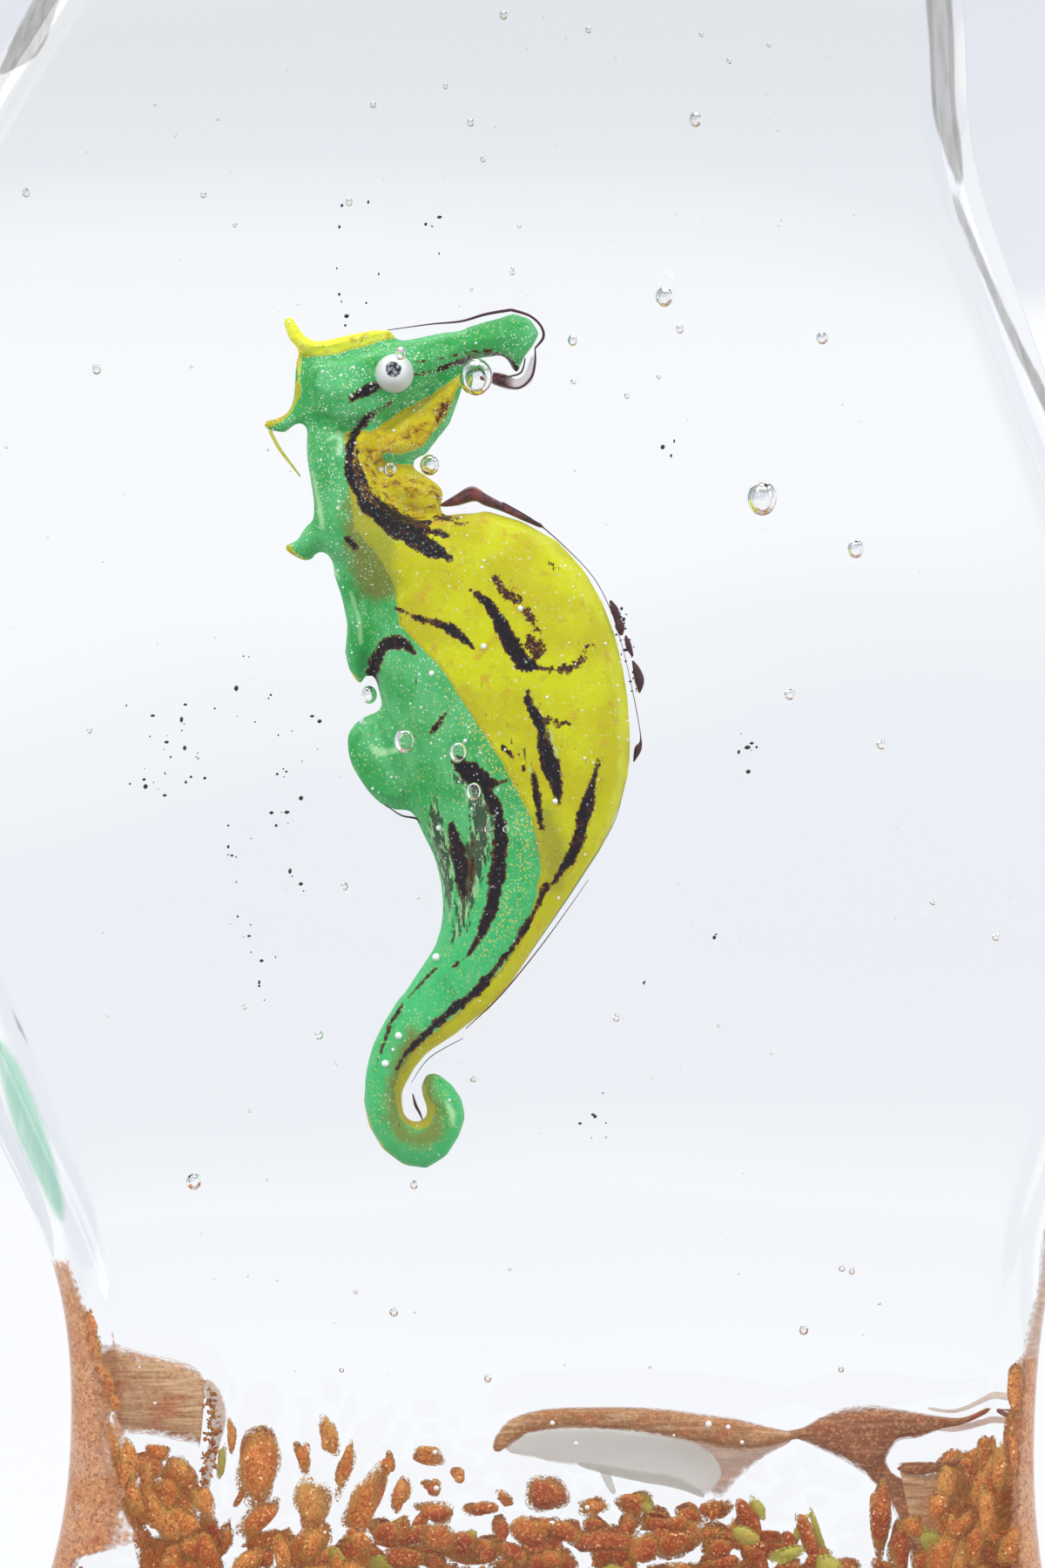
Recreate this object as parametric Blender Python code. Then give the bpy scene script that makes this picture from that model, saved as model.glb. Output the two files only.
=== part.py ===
"""Solid glass sculpture: a lampworked seahorse cased in clear glass over a bed of terracotta chips.

The clear body is one lump of glass, parted here on the figure's middle plane, so that the pockets
round the figure and the chips are open. The seahorse is a flat figure of green and yellow rods, drawn in the XZ
plane and pillowed along Y. Its snout points to +X and its front faces -Y. Lengths are in mm.
"""

import math

import bmesh
import bpy
from mathutils import Vector

MM = 0.001
GAP = 0.3  # between pieces that touch in the real glass
POCKET = 0.8  # clearance of the casing round the figure

# Clear body: the left and right edges of its front view and its half depth, at heights above the foot.
HEIGHT = 150.0
EDGES = (
    # height, left, right, half depth
    (0.0, -36.4, 41.9, 19.6),
    (2.0, -36.7, 42.2, 20.0),
    (11.4, -31.8, 40.0, 19.5),
    (21.5, -30.0, 38.3, 19.2),
    (33.1, -31.2, 39.4, 19.2),
    (44.7, -35.8, 42.8, 19.4),
    (59.9, -42.4, 45.6, 19.8),
    (80.1, -45.94, 45.0, 20.0),
    (100.3, -43.5, 38.0, 19.9),
    (112.5, -39.3, 34.1, 19.2),
    (125.1, -32.0, 33.3, 17.6),
    (150.0, -20.2, 30.3, 13.0),
)
CORNER = 3.4  # radius of the body's upright corners
CORNER_STEPS = 3
FACE_STEPS = 6  # across the front or back face
FACE_SWELL = 0.4  # how much the faces swell in the middle
CROWN_START = 118.0  # height where the top starts to close
CROWN_POWER = 2.3
CROWN_END = 0.9985  # share of the top's closing where it is flat

FOOT_EDGE = 1.2  # the foot's ground edge
CASING_LEVELS = (
    *(0.0, 0.8, 2.5, 7.0, 12.0, 20.0, 28.0, 36.0, 45.0, 56.0, 68.0, 80.0, 92.0, 103.0),
    *(112.0, 120.0, 128.0, 135.0, 141.0, 145.5, 148.5, HEIGHT),
)

# Bed of chips sealed in the foot: its top, which climbs at both sides, and its half depth.
BED_UNDERSIDE = 1.8
BED_CHAMFER = 1.5
BED_POCKET = 0.7
BED = (
    # x, top, half depth
    (-28.7, 27.0, 9.0),
    (-28.2, 29.5, 13.0),
    (-26.9, 21.4, 15.5),
    (-24.5, 20.3, 17.0),
    (-20.5, 20.2, 17.0),
    (-17.0, 22.0, 17.0),
    (-11.0, 21.6, 17.0),
    (-4.0, 19.6, 17.0),
    (-0.5, 17.0, 17.0),
    (4.0, 18.0, 17.0),
    (12.0, 17.2, 17.0),
    (19.0, 16.6, 17.0),
    (24.5, 12.5, 17.0),
    (28.0, 17.4, 17.0),
    (34.0, 20.0, 16.5),
    (36.2, 26.6, 13.0),
    (37.0, 24.5, 9.0),
)

# Figure: rows across the body from its back edge to its front edge, with the share of green
# glass and the half depth, from the neck down to the curl's tip.
BODY = (
    # back x, back z, front x, front z, green share, half depth
    (-13.3, 93.7, -8.9, 92.4, 0.60, 2.3),
    (-13.3, 91.6, -8.2, 90.2, 0.55, 2.5),
    (-12.8, 88.6, -6.9, 87.9, 0.45, 2.8),
    (-12.7, 86.2, -4.2, 87.1, 0.33, 3.2),
    (-11.5, 84.4, -0.7, 87.9, 0.25, 3.7),
    (-9.2, 81.8, 4.6, 85.6, 0.16, 4.3),
    (-8.6, 79.4, 7.7, 81.4, 0.12, 4.8),
    (-8.6, 76.9, 9.2, 76.7, 0.26, 5.0),
    (-7.9, 74.0, 9.7, 72.6, 0.35, 5.0),
    (-6.8, 70.1, 9.6, 68.9, 0.46, 4.8),
    (-5.9, 66.7, 8.4, 65.2, 0.60, 4.4),
    (-4.2, 62.9, 6.6, 61.9, 0.70, 3.9),
    (-3.6, 59.8, 4.0, 58.4, 0.80, 3.4),
    (-4.2, 56.7, 1.9, 55.2, 0.81, 3.0),
    (-6.7, 53.2, -0.6, 52.0, 0.73, 2.6),
    (-8.6, 49.8, -4.8, 49.2, 0.75, 2.2),
    (-9.2, 47.0, -6.3, 47.0, 0.76, 2.0),
    # the curl
    (-9.25, 45.6, -6.6, 45.9, 0.7, 1.9),
    (-8.9, 43.9, -6.5, 44.75, 0.7, 1.9),
    (-7.9, 42.2, -6.1, 44.25, 0.7, 1.9),
    (-6.4, 41.05, -5.65, 44.1, 0.7, 1.9),
    (-4.8, 40.8, -5.2, 44.15, 0.7, 1.8),
    (-3.4, 41.7, -4.85, 44.4, 0.7, 1.8),
    (-2.5, 43.15, -4.7, 44.85, 0.7, 1.7),
    (-2.05, 44.5, -4.85, 45.45, 0.7, 1.6),
    (-2.3, 45.75, -5.1, 46.05, 0.7, 1.5),
    (-2.95, 46.75, -5.2, 46.7, 0.7, 1.3),
    (-3.75, 47.4, -4.95, 47.3, 0.7, 0.9),
)
# Places along the rows where the body is parted, as row numbers.
NECK_END, TRUNK_END, TAIL_END, CURL_START = 4.0, 11.0, 14.0, 16.5

EYE_CENTRE = (-7.1, 97.5)
EYE_RADIUS = 1.38
EYE_HEIGHT = 1.0
EYE_SEAT = 3.45  # distance of the eye's flat back from the middle plane
EYE_EDGE = 0.15  # how thick the dome's edge is
EYE_SIDES = 14
EYE_RINGS = 4

# Rods and beads laid on the body, each as rows from one edge to the other and the half depth.
RIBBONS = {
    "head": (
        (-13.2, 98.3, -12.9, 95.3, 1.6),
        (-12.5, 98.7, -12.3, 94.3, 2.5),
        (-10.7, 98.9, -10.6, 93.7, 3.0),
        (-8.2, 99.6, -8.6, 94.0, 3.1),
        (-5.8, 100.0, -6.3, 95.5, 2.8),
        (-3.8, 100.4, -4.2, 96.9, 2.3),
        (-2.4, 100.7, -2.6, 98.0, 1.9),
    ),
    "snout": (
        (-2.05, 100.8, -2.2, 98.2, 1.9),
        (-0.9, 101.1, -0.9, 98.7, 1.8),
        (-0.05, 101.4, 0.0, 98.7, 1.8),
    ),
    "mouth": (
        (0.3, 101.5, 0.35, 98.8, 1.8),
        (1.4, 101.8, 0.8, 98.7, 1.9),
        (2.6, 101.4, 1.0, 98.5, 1.9),
        (3.25, 100.4, 1.1, 98.3, 1.7),
        (2.7, 99.5, 1.2, 98.1, 1.4),
        (2.1, 98.8, 1.2, 97.9, 1.1),
        (1.8, 98.1, 1.45, 97.8, 0.8),
    ),
    "lower_lip": (
        (-0.3, 96.8, -0.1, 97.5, 0.5),
        (1.5, 96.3, 1.5, 97.1, 0.8),
        (2.6, 96.8, 2.1, 97.3, 0.8),
        (3.0, 97.9, 2.4, 97.9, 0.7),
        (3.1, 98.8, 2.6, 98.8, 0.5),
    ),
    "throat": (
        (-2.6, 97.4, -2.2, 97.0, 1.0),
        (-3.8, 96.5, -2.6, 95.7, 1.4),
        (-5.4, 95.4, -3.2, 94.0, 1.9),
        (-7.0, 94.2, -4.1, 92.9, 2.2),
        (-8.1, 93.4, -4.9, 91.8, 2.2),
        (-8.3, 92.8, -6.5, 91.4, 2.0),
        (-8.3, 92.2, -7.6, 91.4, 1.6),
    ),
    "crest": (
        (-15.0, 101.1, -14.3, 101.4, 0.6),
        (-14.6, 100.0, -13.7, 100.4, 0.9),
        (-13.8, 99.2, -12.9, 99.8, 1.1),
        (-12.2, 99.0, -11.9, 99.9, 1.2),
        (-10.3, 99.4, -10.3, 100.3, 1.1),
        (-8.6, 100.0, -8.7, 100.6, 0.8),
        (-7.6, 100.3, -7.6, 100.6, 0.5),
    ),
    "chest_ruff": (
        (-7.7, 90.6, -6.2, 88.2, 1.6),
        (-6.6, 91.0, -4.9, 87.7, 1.6),
        (-5.1, 90.5, -4.0, 87.7, 1.3),
        (-4.2, 89.8, -3.8, 88.5, 0.8),
    ),
    "breast_ridge": (
        (-3.2, 88.6, -3.0, 88.3, 0.4),
        (-2.4, 89.0, -2.2, 88.5, 0.8),
        (-1.4, 89.5, -1.2, 88.6, 1.0),
        (-0.2, 88.8, -0.4, 88.4, 0.7),
        (1.4, 88.0, 1.2, 87.7, 0.4),
    ),
    "nape_spine_upper": (
        (-14.1, 98.4, -13.8, 98.3, 0.5),
        (-14.15, 97.3, -13.75, 97.2, 0.7),
        (-14.2, 96.0, -13.5, 95.7, 0.9),
        (-14.6, 94.9, -13.7, 94.4, 0.9),
        (-15.4, 94.4, -14.9, 93.4, 0.8),
        (-16.2, 94.3, -16.0, 93.6, 0.5),
    ),
    "nape_spine_middle": (
        (-13.4, 86.9, -12.9, 84.4, 1.4),
        (-13.8, 86.0, -13.5, 84.3, 1.2),
        (-14.2, 85.6, -14.1, 84.6, 0.9),
        (-14.6, 85.5, -14.6, 84.9, 0.6),
    ),
    "nape_spine_lower": (
        (-11.4, 83.5, -11.0, 83.6, 0.9),
        (-10.8, 81.7, -9.9, 81.5, 1.5),
        (-10.4, 79.7, -9.1, 79.6, 1.6),
        (-10.6, 77.7, -9.2, 77.9, 1.4),
        (-10.3, 76.5, -9.4, 76.6, 1.0),
        (-9.8, 75.8, -9.4, 75.8, 0.6),
    ),
    "dorsal_fin": (
        (-8.5, 73.5, -6.3, 66.4, 2.0),
        (-9.2, 73.2, -7.6, 66.6, 1.7),
        (-9.9, 72.7, -8.9, 67.7, 1.3),
        (-10.3, 72.1, -10.0, 69.4, 0.8),
    ),
}
BED_RIBBONS = {
    "bed_arch": (
        (0.3, 21.6, 0.6, 21.1, 1.5),
        (2.2, 22.9, 2.5, 21.4, 5.0),
        (6.4, 23.5, 6.4, 22.0, 7.5),
        (12.1, 23.4, 12.1, 21.7, 8.0),
        (16.5, 23.0, 16.5, 20.4, 7.0),
        (20.2, 22.2, 20.2, 20.7, 5.5),
        (21.9, 22.0, 21.9, 21.2, 4.5),
        (24.6, 23.2, 24.6, 20.5, 6.0),
        (27.6, 23.6, 27.8, 20.2, 7.0),
        (30.5, 23.3, 30.5, 21.4, 6.5),
        (33.4, 23.1, 33.4, 22.0, 4.0),
    ),
    "bed_sheet": (
        (-26.4, 27.5, -26.4, 22.3, 3.0),
        (-25.0, 27.2, -25.0, 21.8, 6.0),
        (-23.0, 26.7, -23.2, 21.8, 6.5),
        (-21.2, 26.0, -21.4, 22.0, 4.0),
    ),
}
ROUND_ENDS = {"head": (True, False), "snout": (False, False), "mouth": (False, True)}
END_LENGTH = 0.3  # how far a rounded end runs on past its last row
PROFILE_POWER = 2.3  # 2 is an ellipse, more is a flatter pillow
BODY_STEPS = 5  # across half a row's section
RIBBON_STEPS = 4
NOSE_ANGLES = (45.0, 78.0)  # of the rings that round an end off
ROWS_BETWEEN = 2  # smooth rows made for each stretch between two given ones

COLOURS = {
    # slot: colour, roughness, alpha
    "clear_glass": ((0.93, 0.96, 0.96), 0.02, 0.16),
    "terracotta_glass": ((0.62, 0.28, 0.16), 0.15, 0.75),
    "green_glass": ((0.10, 0.58, 0.28), 0.12, 1.0),
    "yellow_glass": ((0.85, 0.82, 0.06), 0.12, 1.0),
    "purple_glass": ((0.16, 0.03, 0.06), 0.12, 1.0),
    "white_glass": ((0.90, 0.91, 0.93), 0.12, 1.0),
}
YELLOW = {"throat", "crest", "chest_ruff"}
PURPLE = {"lower_lip", "breast_ridge"}


def clear_scene():
    for obj in list(bpy.data.objects):
        bpy.data.objects.remove(obj, do_unlink=True)


def material(slot):
    found = bpy.data.materials.get(slot)
    if found:
        return found
    colour, roughness, alpha = COLOURS[slot]
    made = bpy.data.materials.new(slot)
    made.use_nodes = True
    shader = made.node_tree.nodes["Principled BSDF"]
    shader.inputs["Base Color"].default_value = (*colour, 1.0)
    shader.inputs["Roughness"].default_value = roughness
    shader.inputs["Metallic"].default_value = 0.0
    shader.inputs["Alpha"].default_value = alpha
    made.diffuse_color = (*colour, alpha)
    return made


def hermite(low, high, before, after, share):
    """Smooth value between two, from the slopes at them."""
    s2, s3 = share * share, share**3
    return (
        (2 * s3 - 3 * s2 + 1) * low
        + (s3 - 2 * s2 + share) * before
        + (3 * s2 - 2 * s3) * high
        + (s3 - s2) * after
    )


def edge_values(height):
    """Left edge, right edge and half depth of the clear body at a height."""
    last = len(EDGES) - 1
    low = max(i for i in range(last) if EDGES[i][0] <= height or i == 0)
    run = EDGES[low + 1][0] - EDGES[low][0]

    def slope(i, column):
        a, b = EDGES[max(i - 1, 0)], EDGES[min(i + 1, last)]
        return (b[column] - a[column]) / (b[0] - a[0])

    share = (height - EDGES[low][0]) / run
    return [
        hermite(
            EDGES[low][column],
            EDGES[low + 1][column],
            slope(low, column) * run,
            slope(low + 1, column) * run,
            share,
        )
        for column in (1, 2, 3)
    ]


def half_section():
    """Places round half a section, from the middle of the right side to that of the left.

    Each is the place on the flats, from -1 to 1 across and 0 to 1 in depth, and on the corner.
    """
    turns = [math.radians(90 * i / CORNER_STEPS) for i in range(CORNER_STEPS + 1)]
    places = [(1.0, 0.0, 1.0, 0.0)]
    places += [(1.0, 1.0, math.cos(t), math.sin(t)) for t in turns]
    places += [(1 - 2 * i / FACE_STEPS, 1.0, 0.0, 1.0) for i in range(1, FACE_STEPS)]
    places += [(-1.0, 1.0, -math.cos(t), math.sin(t)) for t in reversed(turns)]
    places.append((-1.0, 0.0, -1.0, 0.0))
    return places


def body_point(height, place):
    """A point of the clear body's outside at a height and a place round the half section."""
    left, right, depth = edge_values(height)
    closing = min(max(0.0, (height - CROWN_START) / (HEIGHT - CROWN_START)), CROWN_END)
    crown = (1 - closing**CROWN_POWER) ** (1 / CROWN_POWER)
    across, inward, c, s = place
    corner = CORNER * crown
    half = (right - left) / 2 * crown
    depth = depth * crown - FACE_SWELL * crown * across**2
    return (
        (left + right) / 2 + (half - corner) * across + corner * c,
        (depth - corner) * inward + corner * s,
    )


def smooth_rows(rows, between=ROWS_BETWEEN):
    """Catmull-Rom rows through the given ones, and the row number of each."""
    out, numbers = [], []
    last = len(rows) - 1
    for i in range(last):
        a, b = rows[i], rows[i + 1]
        before, after = rows[max(i - 1, 0)], rows[min(i + 2, last)]
        for k in range(between):
            share = k / between
            out.append(
                [
                    hermite(p, q, (q - o) / 2, (r - p) / 2, share)
                    for o, p, q, r in zip(before, a, b, after)
                ]
            )
            numbers.append(i + share)
    out.append(list(rows[last]))
    numbers.append(float(last))
    return out, numbers


def profile(depth, share):
    return depth * max(0.0, 1 - abs(2 * share - 1) ** PROFILE_POWER) ** (1 / PROFILE_POWER)


def ring_of(row, start, end, steps):
    """Closed ring of points for one row, from share start to share end of its width."""
    a, b = Vector((row[0], 0, row[1])), Vector((row[2], 0, row[3]))
    trim = GAP / 2 / (b - a).length
    low = start + trim if start > 0 else 0.0
    high = end - trim if end < 1 else 1.0
    turns = [0.5 - 0.5 * math.cos(math.pi * i / steps) for i in range(steps + 1)]
    shares = [low + (high - low) * turn for turn in turns]
    front = [a.lerp(b, s) + Vector((0, -profile(row[-1], s), 0)) for s in shares]
    back = [a.lerp(b, s) + Vector((0, profile(row[-1], s), 0)) for s in shares]
    if low == 0.0:
        back = back[1:]
    if high == 1.0:
        back = back[:-1]
    return front + back[::-1]


def end_rings(ring, outward, rounded):
    """Rings that end a ribbon: a round nose, or a flat cut short of its neighbour."""
    centre = sum(ring, Vector()) / len(ring)
    if not rounded:
        return [[p - outward * GAP / 2 for p in ring]]
    made = [ring]
    for angle in NOSE_ANGLES:
        turn = math.radians(angle)
        shift = outward * END_LENGTH * math.sin(turn)
        made.append([centre + (p - centre) * math.cos(turn) + shift for p in ring])
    return made


def solid_from_rings(name, rings, slot, grow=0.0):
    """One closed mesh object from rings with the same number of points, grown on every side."""
    bm = bmesh.new()
    loops = [[bm.verts.new(p) for p in ring] for ring in rings]
    for first, second in zip(loops, loops[1:]):
        for i in range(len(first)):
            j = (i + 1) % len(first)
            bm.faces.new((first[i], first[j], second[j], second[i]))
    bm.faces.new(loops[0][::-1])
    bm.faces.new(loops[-1])
    bmesh.ops.triangulate(bm, faces=[f for f in bm.faces if len(f.verts) > 4])
    bmesh.ops.recalc_face_normals(bm, faces=bm.faces)
    bm.normal_update()
    moves = [v.normal * grow for v in bm.verts]
    for vert, move in zip(bm.verts, moves):
        vert.co += move
    return object_from(bm, name, slot)


def object_from(bm, name, slot):
    bmesh.ops.scale(bm, vec=Vector((MM, MM, MM)), verts=bm.verts)
    mesh = bpy.data.meshes.new(name)
    bm.to_mesh(mesh)
    bm.free()
    mesh.materials.append(material(slot))
    mesh.shade_smooth()
    mesh.set_sharp_from_angle(angle=math.radians(50))
    obj = bpy.data.objects.new(name, mesh)
    bpy.context.scene.collection.objects.link(obj)
    return obj


def centre_of(row):
    return Vector(((row[0] + row[2]) / 2, 0, (row[1] + row[3]) / 2))


def ribbon(name, rows, slot, rounded=(True, True), span=(0.0, 1.0), grow=0.0):
    """A flat glass rod: a pillowed section swept through its rows."""
    steps = BODY_STEPS if len(rows[0]) > 5 else RIBBON_STEPS
    rings = [ring_of(row, *span_at(row, span), steps) for row in rows]
    first = (centre_of(rows[0]) - centre_of(rows[1])).normalized()
    last = (centre_of(rows[-1]) - centre_of(rows[-2])).normalized()
    start = end_rings(rings[0], first, rounded[0])
    finish = end_rings(rings[-1], last, rounded[1])
    return solid_from_rings(name, start[::-1] + rings[1:-1] + finish, slot, grow)


def span_at(row, span):
    """The share of the row's width that a colour takes: "green" to the boundary, "yellow" past it."""
    if span == "green":
        return 0.0, row[4]
    if span == "yellow":
        return row[4], 1.0
    return span


def half_line(level):
    """The front half of the outside's section at a level, from its right edge to its left."""
    inset = FOOT_EDGE if level == 0 else 0.0
    line = []
    for place in half_section():
        x, y = body_point(level, place)
        line.append(Vector((x - math.copysign(inset, x), max(y - inset, GAP), level)))
    return line


def strip(bm, first, second):
    """A row of faces between two lines of points."""
    for i in range(len(first) - 1):
        bm.faces.new((first[i], first[i + 1], second[i + 1], second[i]))


def make_casing_half(name, side):
    """Front (side -1) or back (side 1) half of the clear body."""
    bm = bmesh.new()
    outside, seam = [], []
    for level in CASING_LEVELS:
        line = half_line(level)
        outside.append([bm.verts.new((p.x, side * p.y, p.z)) for p in line])
        if level not in (CASING_LEVELS[0], CASING_LEVELS[-1]):
            line = [line[0], line[-1]]
        seam.append([bm.verts.new((p.x, side * GAP / 2, p.z)) for p in line])
    for low, high in zip(outside, outside[1:]):
        strip(bm, low, high)
    for end in (0, -1):
        strip(bm, outside[end], seam[end])
        strip(bm, [row[end] for row in outside], [row[end] for row in seam])
    left = [row[-1] for row in seam[-2:0:-1]]
    right = [row[0] for row in seam[1:-1]]
    bm.faces.new(seam[0][::-1] + right + seam[-1] + left)
    bmesh.ops.recalc_face_normals(bm, faces=bm.faces)
    obj = object_from(bm, name, "clear_glass")
    cut_pocket(obj)
    return obj


def bed_solid(name, grow=0.0):
    """The mass of chips, as chamfered sections from its left end to its right."""
    rings = []
    for x, top, half in BED:
        low, cut = BED_UNDERSIDE, BED_CHAMFER
        front = [(-half, low + cut), (cut - half, low), (half - cut, low), (half, low + cut)]
        back = [(half, top - cut), (half - cut, top), (cut - half, top), (-half, top - cut)]
        rings.append([Vector((x, y, z)) for y, z in front + back])
    return solid_from_rings(name, rings, "terracotta_glass", grow)


def make_bed():
    """The bed of terracotta chips, and the arch and the sheet drawn out of it."""
    bed_solid("seabed")
    as_cutter(bed_solid("pocket_seabed", BED_POCKET))
    for name, rows in BED_RIBBONS.items():
        ribbon(name, rows, "terracotta_glass")
        as_cutter(wrapped(ribbon("pocket_" + name, rows, "clear_glass", (False, False), grow=POCKET)))


def cutter_collection():
    found = bpy.data.collections.get("pocket")
    if found:
        return found
    made = bpy.data.collections.new("pocket")
    bpy.context.scene.collection.children.link(made)
    return made


def as_cutter(obj):
    """Takes a grown copy of a figure piece out of the model and keeps it to cut the casing."""
    bpy.context.scene.collection.objects.unlink(obj)
    cutter_collection().objects.link(obj)
    obj.hide_render = True
    obj.display_type = "WIRE"


def wrapped(obj):
    """Fills the bends of a grown copy, so that it can't cross itself."""
    bm = bmesh.new()
    for vert in obj.data.vertices:
        bm.verts.new(vert.co)
    made = bmesh.ops.convex_hull(bm, input=bm.verts)
    inside = [v for v in made["geom_interior"] if isinstance(v, bmesh.types.BMVert)]
    bmesh.ops.delete(bm, geom=inside, context="VERTS")
    bm.to_mesh(obj.data)
    bm.free()
    return obj


def cut_pocket(casing):
    for cutter in cutter_collection().objects:
        cut = casing.modifiers.new(cutter.name, "BOOLEAN")
        cut.operation = "DIFFERENCE"
        cut.object = cutter
        cut.solver = "MANIFOLD"


def body_range(rows, numbers, low, high):
    return [row for row, number in zip(rows, numbers) if low - 1e-6 <= number <= high + 1e-6]


def make_body():
    """Neck, trunk and tail: green rods along the back and yellow ones along the front."""
    rows, numbers = smooth_rows(BODY)
    end = numbers[-1]
    lengths = (
        ("neck_back", "neck_front", 0.0, NECK_END, (True, False)),
        ("trunk_back", "belly", NECK_END, TRUNK_END, (False, False)),
        ("tail_upper_back", "tail_upper_front", TRUNK_END, TAIL_END, (False, False)),
        ("tail_lower_back", "tail_lower_front", TAIL_END, CURL_START, (False, False)),
    )
    for back, front, low, high, rounded in lengths:
        part = body_range(rows, numbers, low, nearest(numbers, high))
        ribbon(back, part, "green_glass", rounded, "green")
        ribbon(front, part, "yellow_glass", rounded, "yellow")
    curl = math.floor(CURL_START)
    tip = body_range(rows, numbers, CURL_START, end)
    ribbon("tail_curl", tip[:1] + tip[1::2], "green_glass", (False, True))
    as_cutter(ribbon("pocket_body", BODY[: curl + 1], "clear_glass", grow=POCKET))
    as_cutter(wrapped(ribbon("pocket_curl", BODY[curl:], "clear_glass", grow=POCKET)))


def nearest(numbers, value):
    return min(numbers, key=lambda n: abs(n - value))


def make_ribbons():
    for name, rows in RIBBONS.items():
        slot = "yellow_glass" if name in YELLOW else "green_glass"
        slot = "purple_glass" if name in PURPLE else slot
        dense, _ = smooth_rows(rows, 1 if len(rows) > 5 else 2)
        rounded = ROUND_ENDS.get(name, (True, True))
        ribbon(name, dense, slot, rounded)
        as_cutter(wrapped(ribbon("pocket_" + name, rows, "clear_glass", (False, False), grow=POCKET)))


def make_eyes():
    """A white bead on each side of the head."""
    for name, side in (("eye_front", -1), ("eye_back", 1)):
        eye_dome(name, side, 0.0)
        as_cutter(eye_dome("pocket_" + name, side, POCKET))


def eye_dome(name, side, grow):
    """Low dome with a flat back, level rings of it one above the other."""
    radius, height = EYE_RADIUS + grow, EYE_HEIGHT + grow
    flat = EYE_SEAT + EYE_EDGE
    rings = [eye_ring(radius, side * (EYE_SEAT - grow))]
    for step in range(EYE_RINGS):
        lift = math.radians(90.0) * step / EYE_RINGS
        rings.append(eye_ring(radius * math.cos(lift), side * (flat + height * math.sin(lift))))
    return solid_from_rings(name, rings, "white_glass")


def eye_ring(radius, y):
    x, z = EYE_CENTRE
    turns = [2 * math.pi * i / EYE_SIDES for i in range(EYE_SIDES)]
    return [Vector((x + radius * math.cos(t), y, z + radius * math.sin(t))) for t in turns]


clear_scene()
make_body()
make_ribbons()
make_eyes()
make_bed()
make_casing_half("glass_front", -1)
make_casing_half("glass_back", 1)
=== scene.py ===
"""Looks of a lampworked seahorse cased in clear glass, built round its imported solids. Sizes in mm."""

import math
import random

import bmesh
import bpy
import numpy as np
from mathutils import Matrix, Vector
from mathutils.bvhtree import BVHTree


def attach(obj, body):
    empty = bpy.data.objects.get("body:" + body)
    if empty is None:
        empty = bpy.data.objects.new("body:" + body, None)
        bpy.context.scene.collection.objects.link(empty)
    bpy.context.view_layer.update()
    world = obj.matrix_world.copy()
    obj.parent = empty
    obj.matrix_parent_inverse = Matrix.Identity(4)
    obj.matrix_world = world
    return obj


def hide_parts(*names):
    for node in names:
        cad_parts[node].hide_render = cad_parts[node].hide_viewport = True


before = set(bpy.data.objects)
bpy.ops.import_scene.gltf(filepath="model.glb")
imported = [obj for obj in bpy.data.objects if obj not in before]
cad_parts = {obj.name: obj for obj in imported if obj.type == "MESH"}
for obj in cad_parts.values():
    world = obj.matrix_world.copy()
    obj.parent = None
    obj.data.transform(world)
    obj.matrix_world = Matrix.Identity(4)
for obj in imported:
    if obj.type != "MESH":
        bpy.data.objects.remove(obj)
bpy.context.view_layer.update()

# ---------------------------------------------------------------------------------------------
# Camera: level with the seahorse's chest and square to the glass, close in on the figure, so
# that the glass runs out of the view at the top, at both sides and below.
# ---------------------------------------------------------------------------------------------
MM = 0.001
VIEW_X, VIEW_Z = 2.06, 68.25
VIEW_HEIGHT = 113.7  # of the object's middle plane
VIEW_DISTANCE = 600.0
FILM = 36.0

camera_data = bpy.data.cameras.new("camera")
camera_data.sensor_width = FILM
camera_data.lens = FILM * VIEW_DISTANCE / VIEW_HEIGHT
camera_data.clip_start = 0.01
camera = bpy.data.objects.new("camera", camera_data)
camera.location = Vector((VIEW_X, -VIEW_DISTANCE, VIEW_Z)) * MM
camera.rotation_euler = (math.radians(90), 0, 0)
bpy.context.scene.collection.objects.link(camera)
bpy.context.scene.camera = camera


# ---------------------------------------------------------------------------------------------
# Studio: a round pale table that curves up into a low wall, glowing softly like a light tent,
# with large soft lamps above it. The wall brightens and dims in broad level bands.
# ---------------------------------------------------------------------------------------------
class Socket:
    """A socket of a material. Sums and products of sockets and numbers add Math nodes."""

    def __init__(self, finish, socket):
        self.finish, self.socket = finish, socket

    def math(self, operation, *values, clamp=False):
        settings = {"operation": operation, "use_clamp": clamp}
        return self.finish.node("Math", settings, dict(enumerate(values)))

    def __add__(self, other):
        return self.math("ADD", self, other)

    def __sub__(self, other):
        return self.math("SUBTRACT", self, other)

    def __mul__(self, other):
        return self.math("MULTIPLY", self, other)

    def __truediv__(self, other):
        return self.math("DIVIDE", self, other)

    def __pow__(self, other):
        return self.math("POWER", self, other)

    def __radd__(self, other):
        return self.math("ADD", other, self)

    def __rsub__(self, other):
        return self.math("SUBTRACT", other, self)

    def __rmul__(self, other):
        return self.math("MULTIPLY", other, self)

    def most(self, other):
        return self.math("MAXIMUM", self, other)

    def rise(self, low, high):
        """0 below low, 1 above high and smooth between them, or the reverse if low is the larger."""
        settings = {"interpolation_type": "SMOOTHSTEP", "clamp": True}
        if low > high:
            return 1 - self.rise(high, low)
        return self.finish.node("MapRange", settings, {"Value": self, "From Min": low, "From Max": high})


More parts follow.
